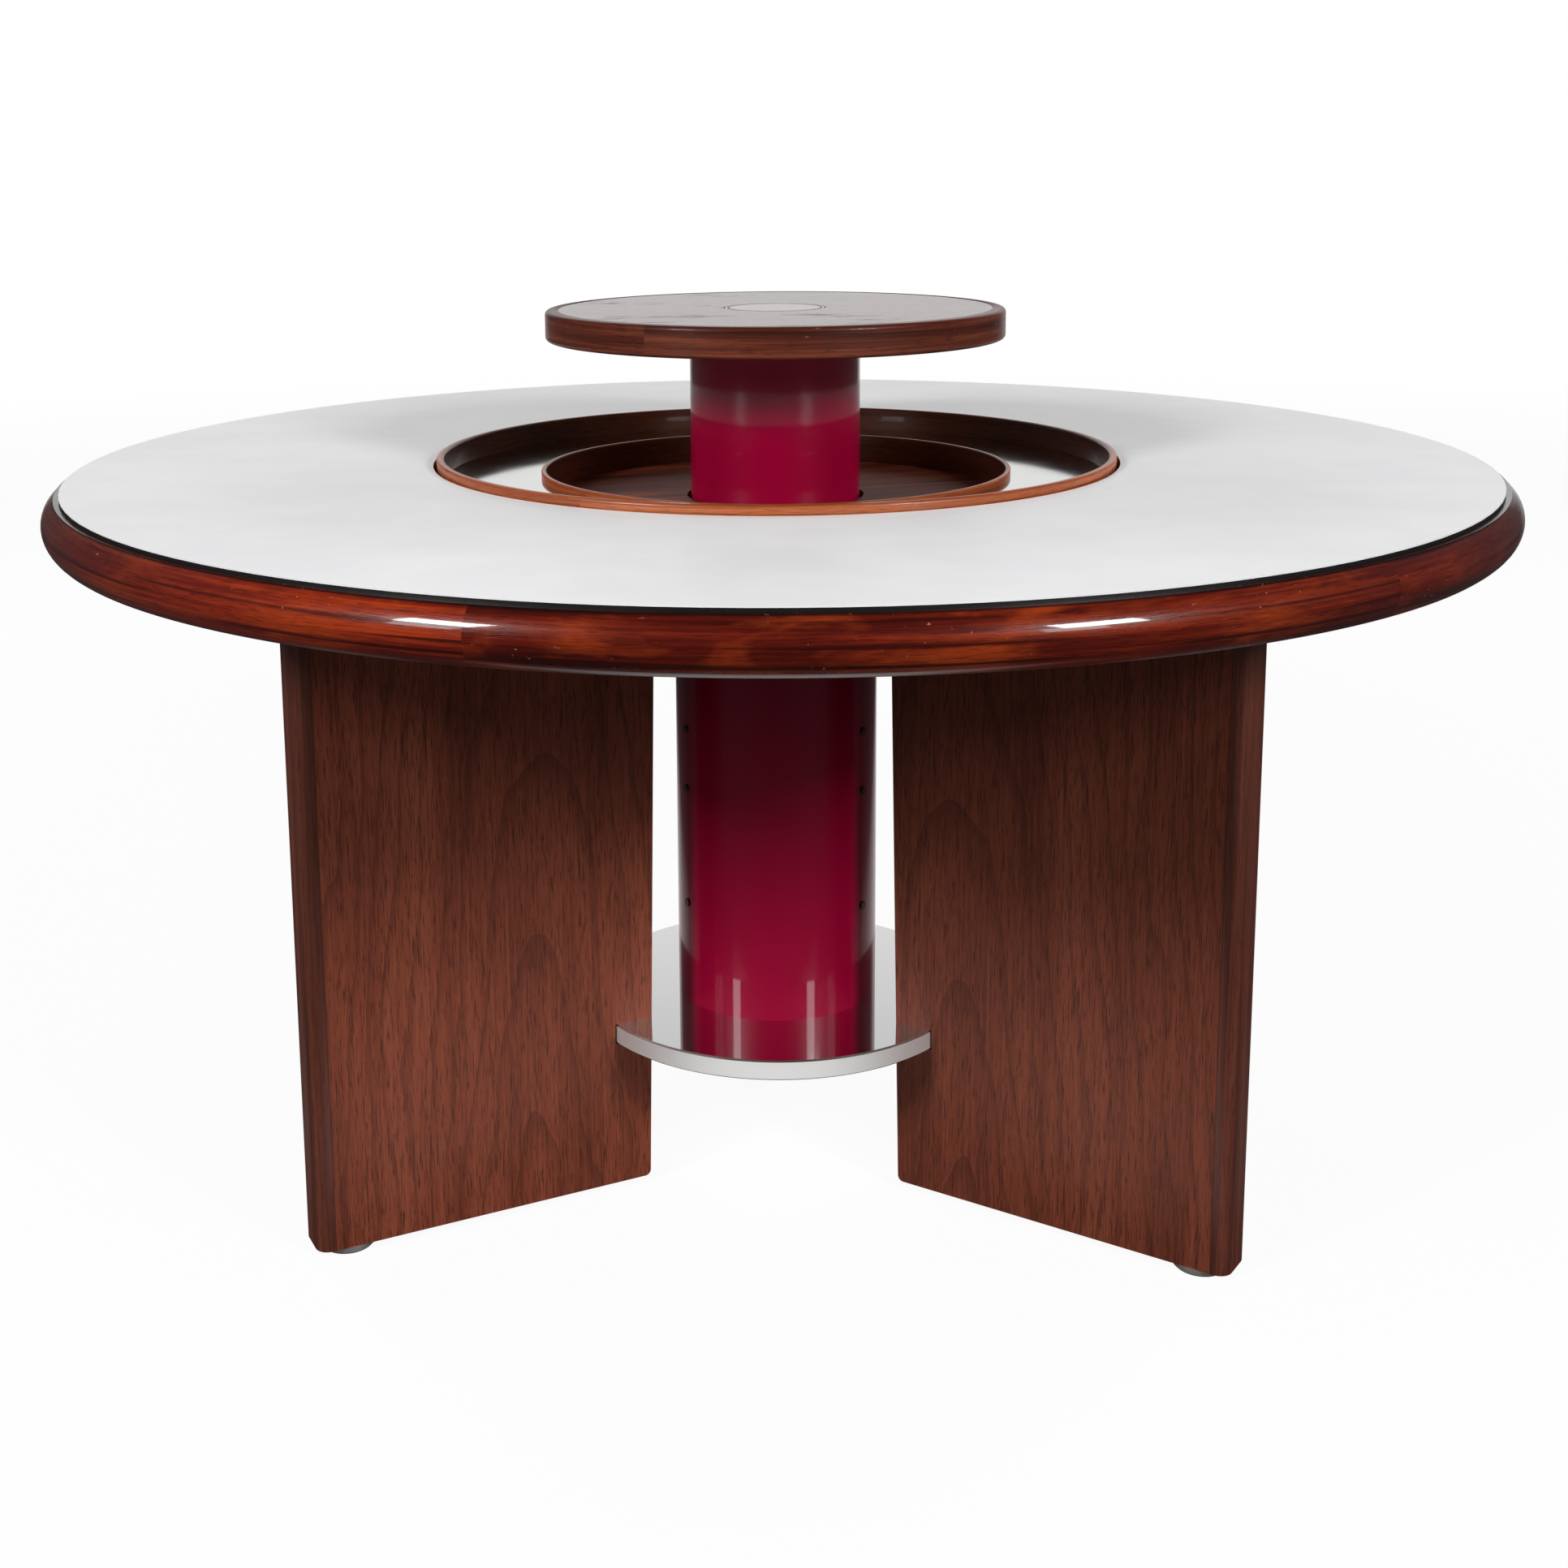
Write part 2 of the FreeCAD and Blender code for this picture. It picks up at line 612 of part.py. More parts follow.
def build_column(fixings):
    chamfer = "plate_chamfer"
    stud_hole = "(spring_stud_radius + fixed_fit)"
    plate = turned("spreader_plate_blank", (
        (stud_hole, PLATE_BOTTOM),
        (f"plate_radius - {chamfer}", PLATE_BOTTOM),
        ("plate_radius", f"{PLATE_BOTTOM} + {chamfer}"),
        ("plate_radius", f"plate_top - {chamfer}"),
        (f"plate_radius - {chamfer}", "plate_top"),
        (stud_hole, "plate_top"),
    ))
    tools = [fixings["plate_bolts"][1], fixings["column_base_bolts"][1]]
    node(drilled("spreader_plate", plate, tools))
    node(fixings["plate_bolts"][0])
    tube_outline = ring_corners(TUBE_BORE, "tube_radius", "plate_top", CORE_BOTTOM)
    tube = turned("column_outer_tube_blank", tube_outline)
    node(drilled("column_outer_tube", tube, [fixings["guide_rail_screws"][1]]))
    ring_top = "plate_top + base_ring_height"
    ring_outer = f"{TUBE_BORE} - fixed_fit"
    ring_outline = ring_corners("base_ring_inner", ring_outer, "plate_top", ring_top)
    ring = turned("column_base_ring_blank", ring_outline)
    node(drilled("column_base_ring", ring, [fixings["column_base_bolts"][1]]))
    node(fixings["column_base_bolts"][0])
    flange = turned("column_top_flange_blank", ring_corners(
        "tube_radius", "column_flange_radius", f"{BOARD_BOTTOM} - column_flange_thickness", BOARD_BOTTOM))
    node(drilled("column_top_flange", flange, [fixings["column_flange_screws"][1]]))
    node(fixings["column_flange_screws"][0])
    slide = "(lift_tube_radius + running_fit)"
    sleeve = f"({TUBE_BORE} - fixed_fit)"
    bush_top = f"{CORE_BOTTOM} + bush_collar_height"
    node(turned("upper_guide_bush", (
        (slide, f"{CORE_BOTTOM} - bush_height"), (sleeve, f"{CORE_BOTTOM} - bush_height"),
        (sleeve, CORE_BOTTOM), ("bush_collar_radius", CORE_BOTTOM),
        ("bush_collar_radius", bush_top), (slide, bush_top),
    )))
    build_rails(fixings)
    build_spring_cylinder()


def build_rails(fixings):
    outer = f"({RAIL_INNER} + rail_depth)"
    half = "rail_width / 2"
    outline = ((RAIL_INNER, f"-{half}"), (outer, f"-{half}"), (outer, half), (RAIL_INNER, half))
    for number, angle in leg_turns():
        blank = prism(f"guide_rail_{number}_blank", outline, "rail_length", "XY_Plane", RAIL_BOTTOM, angle)
        node(drilled(f"guide_rail_{number}", blank, [fixings["guide_rail_screws"][1]]))
    node(fixings["guide_rail_screws"][0])


def build_spring_cylinder():
    floor = "(plate_top + spring_end)"
    ceiling = f"({SPRING_TOP} - spring_end)"
    gland = "(rod_radius + running_fit)"
    stud_bottom = f"({PLATE_BOTTOM} - spring_nut_height)"
    node(turned("gas_spring_cylinder", (
        ("0", stud_bottom), ("spring_stud_radius", stud_bottom), ("spring_stud_radius", "plate_top"),
        ("spring_radius", "plate_top"), ("spring_radius", SPRING_TOP), (gland, SPRING_TOP),
        (gland, ceiling), ("spring_bore", ceiling), ("spring_bore", floor), ("0", floor),
    )))
    nut = doc.addObject("Part::Prism", "gas_spring_nut_blank")
    nut.Polygon = 6
    bind(nut, "Circumradius", "spring_nut_radius")
    bind(nut, "Height", "spring_nut_height")
    bind(nut, ".Placement.Base.z", stud_bottom)
    hole = doc.addObject("Part::Cylinder", "gas_spring_nut_hole")
    bind(hole, "Radius", "spring_stud_radius + fixed_fit")
    bind(hole, "Height", "spring_nut_height")
    bind(hole, ".Placement.Base.z", stud_bottom)
    node(drilled("gas_spring_nut", nut, [hole]))


def build_pan():
    node(turned("pan_floor_board", ring_corners(
        "inner_hoop_radius", HOOP_INNER, PAN_BOARD_BOTTOM, PAN_BOARD_TOP)))
    node(turned("pan_floor_sheet", ring_corners("inner_hoop_radius", HOOP_INNER, PAN_BOARD_TOP, SHEET_TOP)))
    node(turned("pan_outer_ring", hoop_corners(
        HOOP_INNER, "hoop_radius", PAN_BOARD_BOTTOM, "(table_height + hoop_rise)", "hoop_round")))
    node(turned("pan_inner_ring", hoop_corners(
        INNER_HOOP_BORE, "inner_hoop_radius", INNER_FLOOR_BOTTOM, INNER_HOOP_TOP, "inner_hoop_round")))
    node(turned("pan_inner_floor", ring_corners(
        "lift_tube_radius + inner_floor_gap", INNER_HOOP_BORE, INNER_FLOOR_BOTTOM, INNER_FLOOR_TOP)))
    build_bearing()


def hoop_corners(inner, outer, bottom, top, ease):
    """Upright hoop with a rounded top edge."""
    return (
        (inner, bottom),
        (outer, bottom),
        (outer, f"{top} - {ease}"),
        (f"{outer} - {ease}", top, ease),
        (f"{inner} + {ease}", top),
        (inner, f"{top} - {ease}", ease),
    )


def build_bearing():
    """Two flat races with a ring of rollers between them."""
    inner = "(race_pitch - race_width / 2)"
    outer = "(race_pitch + race_width / 2)"
    lower_top = f"{CORE_BOTTOM} + race_thickness"
    upper_bottom = f"{PAN_BOARD_BOTTOM} - race_thickness"
    node(turned("bearing_lower_race", ring_corners(inner, outer, CORE_BOTTOM, lower_top)))
    node(turned("bearing_upper_race", ring_corners(inner, outer, upper_bottom, PAN_BOARD_BOTTOM)))
    start = "race_pitch - roller_length / 2"
    end = "race_pitch + roller_length / 2"
    crown = f"{ROLLER_CENTRE} + {ROLLER_RADIUS}"
    node(spun("bearing_rollers", (
        (end, ROLLER_CENTRE), (end, crown), (start, crown), (start, ROLLER_CENTRE),
    ), "roller_count"))


def build_lift(fixings):
    node(turned("lift_tube", ring_corners(
        LIFT_TUBE_BORE, "lift_tube_radius", "lift_tube_foot", LIFT_TUBE_TOP)))
    build_collar()
    spigot = f"({LIFT_TUBE_BORE} - fixed_fit)"
    flange = turned("tray_flange_blank", (
        (ROD_SOCKET, SPIGOT_BOTTOM), (spigot, SPIGOT_BOTTOM), (spigot, LIFT_TUBE_TOP),
        ("tray_flange_radius", LIFT_TUBE_TOP), ("tray_flange_radius", TRAY_BOTTOM),
        (STEM_BORE, TRAY_BOTTOM), (STEM_BORE, STEM_BOTTOM), (ROD_SOCKET, STEM_BOTTOM),
    ))
    node(drilled("tray_flange", flange, [fixings["tray_flange_screws"][1]]))
    node(fixings["tray_flange_screws"][0])
    build_rod()
    edge_inner = "(tray_radius - tray_edge_width)"
    core = turned("tray_core_blank", (
        ("stem_bush_radius", TRAY_BOTTOM), (edge_inner, TRAY_BOTTOM), (edge_inner, TRAY_TOP),
        ("trim_radius", TRAY_TOP), ("trim_radius", f"{TRAY_TOP} - trim_height"),
        (TRIM_BORE, f"{TRAY_TOP} - trim_height"), (TRIM_BORE, BUTTON_WELL_FLOOR),
        ("stem_bush_radius", BUTTON_WELL_FLOOR),
    ))
    node(drilled("tray_core", core, [fixings["tray_flange_screws"][1]]))
    ease = "tray_edge_round"
    node(turned("tray_edge", (
        (edge_inner, TRAY_BOTTOM),
        (f"tray_radius - {ease}", TRAY_BOTTOM),
        ("tray_radius", f"{TRAY_BOTTOM} + {ease}", ease),
        ("tray_radius", f"{TRAY_TOP} - {ease}"),
        (f"tray_radius - {ease}", TRAY_TOP, ease),
        (edge_inner, TRAY_TOP),
    )))
    trim_bottom = f"{TRAY_TOP} - trim_height"
    node(turned("tray_trim_ring", ring_corners(TRIM_BORE, "trim_radius", trim_bottom, TRAY_TOP)))
    node(turned("stem_bush", ring_corners(STEM_BORE, "stem_bush_radius", TRAY_BOTTOM, BUTTON_WELL_FLOOR)))


def build_collar():
    """Collar round the lift tube's foot, notched to ride on the guide rails."""
    outer = f"({TUBE_BORE} - running_fit)"
    top = "lift_tube_foot + collar_height"
    blank = turned("lift_foot_collar_blank", ring_corners("lift_tube_radius", outer, "lift_tube_foot", top))
    half = "(rail_width / 2 + running_fit)"
    inside = f"({RAIL_INNER} - running_fit)"
    outline = ((inside, f"-{half}"), ("tube_radius", f"-{half}"), ("tube_radius", half), (inside, half))
    notches = prism("lift_foot_collar_notches", outline, "collar_height", "XY_Plane", "lift_tube_foot",
                    "first_leg_angle", count="leg_count")
    node(drilled("lift_foot_collar", blank, [notches]))


def build_rod():
    """Gas spring rod with its piston at the foot and the valve pin's bore at the top."""
    top = f"({STEM_BOTTOM} - button_travel - running_fit)"
    piston = "(spring_bore - running_fit)"
    piston_top = "rod_foot + piston_height"
    pin_bore = "(valve_pin_radius + running_fit)"
    pin_bore_floor = f"({top} - valve_pin_length)"
    node(turned("gas_spring_rod", (
        ("0", "rod_foot"), (piston, "rod_foot"), (piston, piston_top), ("rod_radius", piston_top),
        ("rod_radius", top), (pin_bore, top),
        (pin_bore, pin_bore_floor), ("0", pin_bore_floor),
    )))


def build_button():
    disc = f"({TRIM_BORE} - running_fit)"
    node(turned("release_button", (
        ("0", STEM_BOTTOM), ("stem_radius", STEM_BOTTOM), ("stem_radius", BUTTON_BOTTOM),
        (disc, BUTTON_BOTTOM), (disc, TRAY_TOP), ("0", TRAY_TOP),
    )))
    pin_foot = f"{STEM_BOTTOM} - valve_pin_length"
    node(turned("valve_pin", (
        ("0", pin_foot), ("valve_pin_radius", pin_foot),
        ("valve_pin_radius", STEM_BOTTOM), ("0", STEM_BOTTOM),
    )))


def check_document():
    for thing in doc.Objects:
        if "Invalid" in thing.State or "Error" in thing.State:
            raise RuntimeError(f"{thing.Label} did not compute: {thing.State}")
    for thing in nodes:
        if thing.Shape.isNull() or not thing.Shape.isValid():
            raise RuntimeError(f"{thing.Label} has no valid shape")


fixings = build_fixings()
build_top(fixings)
build_legs(fixings)
build_column(fixings)
build_pan()
build_lift(fixings)
build_button()
doc.recompute()
check_document()
os.makedirs("parts", exist_ok=True)
for thing in nodes:
    thing.Shape.exportStep(f"parts/{thing.Label}.step")
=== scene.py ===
from math import cos, radians, sin

import bmesh
import bpy
from mathutils import Matrix, Vector


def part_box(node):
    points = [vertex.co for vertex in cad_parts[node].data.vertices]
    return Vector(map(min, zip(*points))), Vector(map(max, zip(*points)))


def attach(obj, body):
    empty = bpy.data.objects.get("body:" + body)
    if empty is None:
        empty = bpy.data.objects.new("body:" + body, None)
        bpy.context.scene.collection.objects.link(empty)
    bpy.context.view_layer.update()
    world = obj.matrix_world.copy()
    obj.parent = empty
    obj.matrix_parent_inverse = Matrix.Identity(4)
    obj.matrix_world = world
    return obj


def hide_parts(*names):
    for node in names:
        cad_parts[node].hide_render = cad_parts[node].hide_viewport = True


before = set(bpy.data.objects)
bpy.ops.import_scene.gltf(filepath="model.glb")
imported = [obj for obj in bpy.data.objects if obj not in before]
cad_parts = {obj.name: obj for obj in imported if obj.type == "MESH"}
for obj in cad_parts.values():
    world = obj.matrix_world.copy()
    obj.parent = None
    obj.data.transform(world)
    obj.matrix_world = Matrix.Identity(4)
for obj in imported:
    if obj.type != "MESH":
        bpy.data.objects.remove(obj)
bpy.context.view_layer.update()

# Sizes are in metres and angles in degrees, in the frame of the CAD model.
# The camera, as fitted to the photo; its lens and sensor are in millimetres.
CAMERA_PLACE = (0.0807, -2.0622, 1.0396)
CAMERA_HEADING = 3.852
CAMERA_PITCH = 10.67
CAMERA_ROLL = -0.509
SENSOR_WIDTH = 36.0
CAMERA_LENS = 48.03
CAMERA_SHIFT = (0.0423, -0.159)

# Where the grain and the marks on the wood lie, and where painted shade darkens the rim's ends, the rim's
# quirk and the hoops' inner faces.
LEG_ANGLES = (90.0, 210.0, 330.0)
RIM_JOINT_ANGLE = -105.8
RIM_SEGMENT_ANGLE = 60.0
RIM_RADIUS = 0.7
HOOP_RADIUS = 0.33
HOOP_SEAM_ANGLE = -118.0
INNER_HOOP_RADIUS = 0.23
INNER_HOOP_SEAM_ANGLE = -60.0
TRAY_RADIUS = 0.2255
TRAY_SEAM_ANGLE = -119.0
TRAY_GRAIN_ANGLE = 4.0
PAN_GRAIN_ANGLE = 20.0
BRUSH_SEAM_ANGLE = 90.0
LIP_LINE = 0.487
LIP_SHADE = 0.0016
RIM_END = (0.3, 0.66)
QUIRK_SHADE = 0.0018
# The painted shade of the hoops: the spread of its edge, and the radius where it ends.
SHADE_EDGE_SPREAD = 0.0012
HOOP_SHADE_RADIUS = 0.3295
INNER_HOOP_SHADE_RADIUS = 0.229

# The turned rings; their outer sizes come from the CAD nodes.
TURNED_SEGMENTS = 192
ROUND_STEPS = 8
TRAY_EDGE_WIDTH = 0.013
TRAY_EDGE_ROUND = 0.004
HOOP_WALL = 0.0075
HOOP_ROUND = 0.0026
INNER_HOOP_WALL = 0.005
INNER_HOOP_ROUND = 0.0018
TRIM_WIDTH = 0.005
TRIM_BAND = (0.0468, 0.0490)
TRIM_GROOVE_DEPTH = 0.0012

# Shading: edges sharper than the angle stay crisp.
WELD_DISTANCE = 0.00001
EDGE_SPLIT_ANGLE = 32.0

# How deep the fine relief of each surface is.
WOOD_RELIEF = 0.00008
LAMINATE_RELIEF = 0.00003
BRUSH_RELIEF = 0.00001
TRIM_RELIEF = 0.00002
SKIN_RELIEF = 0.00004
PLY_RELIEF = 0.0001
FULL_RELIEF_SHARE = 0.5
FAINT_RELIEF_SHARE = 0.3

# The floor, and the stretches over which its mirrored brightness rises and falls.
FLOOR_RADIUS = 9.0
FLOOR_SEGMENTS = 96
FLOOR_FADE = (3.0, 7.5)
FLOOR_GLOW_SHARE = 0.93
FLOOR_BEHIND = (-0.2, 0.6)
FLOOR_SIDE = (0.35, 0.8)
POOL_NEAR = (0.24, 0.3)
POOL_FAR = (0.46, 0.56)
POOL_SLANT = (0.4, 1.1)
POOL_STRENGTH = 1.6

# The world's brightness, and the stretches of direction over which its mirrored brightness falls.
WORLD_LEVEL = 0.055
DIM_LEVEL = 0.07
CEILING_FADE = (0.34, 0.62)
FRONT_FADE = (0.25, -0.25)
RIGHT_FADE = (0.35, 0.5)
LEFT_FADE = (-0.35, -0.5)

# The lamps, all as far from the point that they face.
LAMP_DISTANCE = 4.2
LAMP_AIM = (0.0, 0.0, 0.55)
SOFTBOX_SIZE = (0.85, 0.75)
STRIP_SIZE = (0.62, 0.6)
BACK_SOFTBOX_SIZE = (1.6, 1.2)
# Of each lamp: name, angle from the front, angle above the floor, size, power in watts, seen in mirrors.
LAMPS = (
    ("front_softbox", -44.0, 28.0, SOFTBOX_SIZE, 104.0, True),
    ("front_softbox", 46.0, 26.0, SOFTBOX_SIZE, 99.0, True),
    ("strip_light", -45.0, 18.0, STRIP_SIZE, 11.0, True),
    ("strip_light", 41.0, 18.0, STRIP_SIZE, 11.0, True),
    ("back_softbox", -128.0, 22.0, BACK_SOFTBOX_SIZE, 56.0, False),
    ("back_softbox", 130.0, 22.0, BACK_SOFTBOX_SIZE, 56.0, False),
)


def linear(red, green, blue):
    """A colour written as the 0 to 255 values that a screen shows, by the sRGB curve."""
    shares = [value / 255.0 for value in (red, green, blue)]
    return tuple(share / 12.92 if share <= 0.04045 else ((share + 0.055) / 1.055) ** 2.4
                 for share in shares)


def toned(colour, share):
    """A darker or lighter tone of a colour."""
    return tuple(share * value for value in colour)


def opaque(colour):
    """The colour with the alpha that a colour socket asks for."""
    return (*colour, 1.0)


class Nodes:
    """A node tree, with short calls to add and join nodes."""

    def __init__(self, tree):
        self.tree = tree

    def add(self, kind, **settings):
        made = self.tree.nodes.new(kind)
        for key, value in settings.items():
            setattr(made, key, value)
        return made

    def feed(self, target, value):
        """Link a socket to the target, or set a plain value on it."""
        if isinstance(value, bpy.types.NodeSocket):
            self.tree.links.new(value, target)
        else:
            target.default_value = value

    def math(self, operation, first, second=0.0):
        made = self.add("ShaderNodeMath", operation=operation)
        self.feed(made.inputs[0], first)
        self.feed(made.inputs[1], second)
        return made.outputs[0]

    def times(self, first, second):
        return self.math("MULTIPLY", first, second)

    def reach(self, x, y):
        """Distance from the upright axis."""
        return self.math("SQRT", self.math("ADD", self.times(x, x), self.times(y, y)))

    def place(self):
        return self.add("ShaderNodeTexCoord").outputs["Object"]

    def split(self, vector):
        made = self.add("ShaderNodeSeparateXYZ")
        self.feed(made.inputs[0], vector)
        return made.outputs

    def merge(self, x, y, z):
        made = self.add("ShaderNodeCombineXYZ")
        for target, value in zip(made.inputs, (x, y, z)):
            self.feed(target, value)
        return made.outputs[0]

    def mapped(self, vector, turn=(0.0, 0.0, 0.0), scale=(1.0, 1.0, 1.0), move=(0.0, 0.0, 0.0)):
        made = self.add("ShaderNodeMapping")
        self.feed(made.inputs["Vector"], vector)
        self.feed(made.inputs["Rotation"], turn)
        self.feed(made.inputs["Scale"], scale)
        self.feed(made.inputs["Location"], move)
        return made.outputs[0]

    def noise(self, vector, scale, detail, roughness=0.55, distortion=0.0):
        made = self.add("ShaderNodeTexNoise")
        self.feed(made.inputs["Vector"], vector)
        self.feed(made.inputs["Scale"], scale)
        self.feed(made.inputs["Detail"], detail)
        self.feed(made.inputs["Roughness"], roughness)
        self.feed(made.inputs["Distortion"], distortion)
        return made.outputs[0]

    def drawn_noise(self, vector, scales, detail, roughness=0.55, distortion=0.0):
        """Noise with a scale of its own along, across and through the grain."""
        return self.noise(self.mapped(vector, scale=scales), 1.0, detail, roughness, distortion)

    def ramp(self, factor, stops):
        made = self.add("ShaderNodeValToRGB")
        self.feed(made.inputs[0], factor)
        bar = made.color_ramp.elements
        while len(bar) < len(stops):
            bar.new(1.0)
        for stop, (place, colour) in zip(bar, stops):
            stop.position = place
            stop.color = opaque(colour)
        return made.outputs[0]

    def mix(self, factor, first, second):
        """Two colours mixed, each a socket or a plain colour."""
        made = self.add("ShaderNodeMix", data_type="RGBA")
        self.feed(made.inputs[0], factor)
        targets = [socket for socket in made.inputs if socket.type == "RGBA"]
        for target, colour in zip(targets, (first, second)):
            self.feed(target, opaque(colour) if isinstance(colour, tuple) else colour)
        return [socket for socket in made.outputs if socket.type == "RGBA"][0]

    def mix_values(self, factor, first, second):
        """Two numbers mixed, each a socket or a plain number."""
        made = self.add("ShaderNodeMix")
        self.feed(made.inputs["Factor"], factor)
        self.feed(made.inputs["A"], first)
        self.feed(made.inputs["B"], second)
        return made.outputs["Result"]

    def mix_shaders(self, factor, first, second):
        made = self.add("ShaderNodeMixShader")
        for target, value in zip(made.inputs, (factor, first, second)):
            self.feed(target, value)
        return made.outputs[0]

    def level(self, factor, low, high, start=0.0, end=1.0):
        """Low up to the start, high from the end on."""
        made = self.add("ShaderNodeMapRange")
        self.feed(made.inputs["Value"], factor)
        self.feed(made.inputs["From Min"], start)
        self.feed(made.inputs["From Max"], end)
        self.feed(made.inputs["To Min"], low)
        self.feed(made.inputs["To Max"], high)
        return made.outputs[0]


class MaterialNodes(Nodes):
    """The node tree of a new material, with its shader."""

    def __init__(self, name):
        self.material = bpy.data.materials.new(name)
        self.material.use_nodes = True
        super().__init__(self.material.node_tree)
        self.shader = self.tree.nodes["Principled BSDF"]

    def set(self, **values):
        for key, value in values.items():
            self.feed(self.shader.inputs[key.replace("_", " ")], value)

    def bump(self, height, depth, share):
        made = self.add("ShaderNodeBump")
        self.feed(made.inputs["Strength"], share)
        self.feed(made.inputs["Distance"], depth)
        self.feed(made.inputs["Height"], height)
        self.feed(self.shader.inputs["Normal"], made.outputs[0])


def level_grain(nodes, angle):
    """Grain that runs across a flat panel at this angle."""
    return nodes.mapped(nodes.place(), turn=(0.0, 0.0, radians(-angle)))


def upright_grain(nodes, angle):
    """Grain that runs up a leg standing at this angle: along, across, through."""
    x, y, z = nodes.split(level_grain(nodes, angle))
    return nodes.merge(z, x, y)


def round_grain(nodes, radius, seam_angle):
    """Grain that follows a ring, with its break at the seam: along, across, through."""
    x, y, z = nodes.split(level_grain(nodes, seam_angle - 180.0))
    along = nodes.times(nodes.math("ARCTAN2", y, x), radius)
    return nodes.merge(along, nodes.reach(x, y), z)


def ring_brush(nodes):
    """Brush lines that run round the upright axis."""
    return round_grain(nodes, TRAY_RADIUS, BRUSH_SEAM_ANGLE)


# Wood. A scale counts changes per metre along, across and through the grain. An edge is the pair of noise
# values between which a mark comes or goes.
STREAK_SCALE = (5.0, 330.0, 330.0)
PORE_SCALE = (55.0, 1100.0, 1100.0)
PORE_EDGE = (0.36, 0.46)
BROAD_SHARE = 0.6
WOOD_COAT_ROUGHNESS = 0.05
STAIN_COLOUR = linear(16, 10, 8)
STAIN_DULLNESS = 0.9


def wood(name, grain, colours, figure, roughness, pore_share=0.55, shift=0.0, coat=0.0, sheen=0.4,
         arch_share=0.0, contrast=0.14, overlay=None, stains=None):
    """Polished wood: broad figure, fine streaks and dark pores along the grain."""
    nodes = MaterialNodes(name)
    straight = grain(nodes)
    vector = nodes.mapped(straight, move=(shift, shift, shift))
    along, across = figure
    broad = nodes.drawn_noise(vector, (along, across, across), detail=5.0, roughness=0.6, distortion=0.5)
    streak = nodes.drawn_noise(vector, STREAK_SCALE, detail=3.0, roughness=0.6)
    pore = nodes.drawn_noise(vector, PORE_SCALE, detail=2.0, roughness=0.5)
    tone = nodes.math("ADD", nodes.times(broad, BROAD_SHARE), nodes.times(streak, 1.0 - BROAD_SHARE))
    dark, middle, light = colours
    colour = nodes.ramp(tone, ((0.5 - contrast, dark), (0.5, middle), (0.5 + contrast, light)))
    if arch_share:
        colour = nodes.mix(nodes.times(arch_lines(nodes, vector), arch_share), colour, dark)
    if overlay:
        colour = overlay(nodes, straight, colour)
    pores = nodes.level(pore, 1.0, 0.0, *PORE_EDGE)
    colour = nodes.mix(nodes.times(pores, pore_share), colour, dark)
    dullness = nodes.level(streak, *roughness)
    if stains:
        stained = stains(nodes, straight)
        colour = nodes.mix(stained, colour, STAIN_COLOUR)
        dullness = nodes.math("MAXIMUM", dullness, nodes.times(stained, STAIN_DULLNESS))
    nodes.set(Base_Color=colour, Roughness=dullness, Specular_IOR_Level=sheen,
              Coat_Weight=coat, Coat_Roughness=WOOD_COAT_ROUGHNESS)
    nodes.bump(nodes.math("SUBTRACT", streak, pores), WOOD_RELIEF, FULL_RELIEF_SHARE)
    return nodes.material


# The arches in the legs' veneer.
ARCH_WAVE_SCALE = (1.6, 7.0, 7.0)
ARCH_WAVE_SHARE = 0.6
ARCH_SCALE = (0.5, 5.0, 5.0)
ARCH_MOVE = (0.2, -1.9, 0.0)
ARCH_RINGS = 3.4
ARCH_DISTORTION = 1.2
ARCH_DETAIL = 3.0
ARCH_EDGE = (0.72, 1.0)


def arch_lines(nodes, vector):
    """The thin dark lines of the pointed arches in a flat-sawn veneer."""
    waved = nodes.drawn_noise(vector, ARCH_WAVE_SCALE, detail=3.0)
    x, y = nodes.split(nodes.mapped(vector, scale=ARCH_SCALE))[:2]
    bent = nodes.merge(x, nodes.math("ADD", y, nodes.times(waved, ARCH_WAVE_SHARE)), 0.0)
    made = nodes.add("ShaderNodeTexWave", wave_type="RINGS", rings_direction="SPHERICAL", wave_profile="SAW")
    nodes.feed(made.inputs["Vector"], nodes.mapped(bent, move=ARCH_MOVE))
    nodes.feed(made.inputs["Scale"], ARCH_RINGS)
    nodes.feed(made.inputs["Distortion"], ARCH_DISTORTION)
    nodes.feed(made.inputs["Detail"], ARCH_DETAIL)
    return nodes.level(made.outputs[1], 0.0, 1.0, *ARCH_EDGE)


# The legs. Colours run from dark to light, and a shift moves the figure from piece to piece.
LEG_COLOURS = (linear(76, 37, 26), linear(134, 67, 47), linear(160, 88, 63))
# Painted shade: the leg at 330 degrees is darkened by its share.
LEG_PAINTED_SHADE_SHARES = (1.0, 1.0, 0.78)
LEG_SHIFT = 0.05
LIP_COLOURS = (linear(56, 25, 18), linear(94, 47, 35), linear(118, 64, 47))
LIP_SHIFT = 0.31
GLUE_COLOUR = linear(24, 10, 8)
GLUE_SHARE = 0.8


def leg_material(index, angle):
    """A leg's veneer, which stands upright and has a dark line at its lipping."""
    # Painted shade darkens this leg's colours by its share.
    colours = [toned(colour, LEG_PAINTED_SHADE_SHARES[index]) for colour in LEG_COLOURS]
    return wood("leg_veneer_%d" % index, lambda nodes: upright_grain(nodes, angle), colours,
                figure=(1.3, 20.0), roughness=(0.36, 0.5), shift=LEG_SHIFT * index, arch_share=0.5,
                pore_share=0.85, contrast=0.26, sheen=0.24, overlay=glue_line)


def glue_line(nodes, straight, colour):
    """The dark joint between a leg's panel and its lipping."""
    across = nodes.split(straight)[1]
    joint = nodes.level(across, 0.0, GLUE_SHARE, LIP_LINE - LIP_SHADE, LIP_LINE)
    return nodes.mix(joint, colour, GLUE_COLOUR)


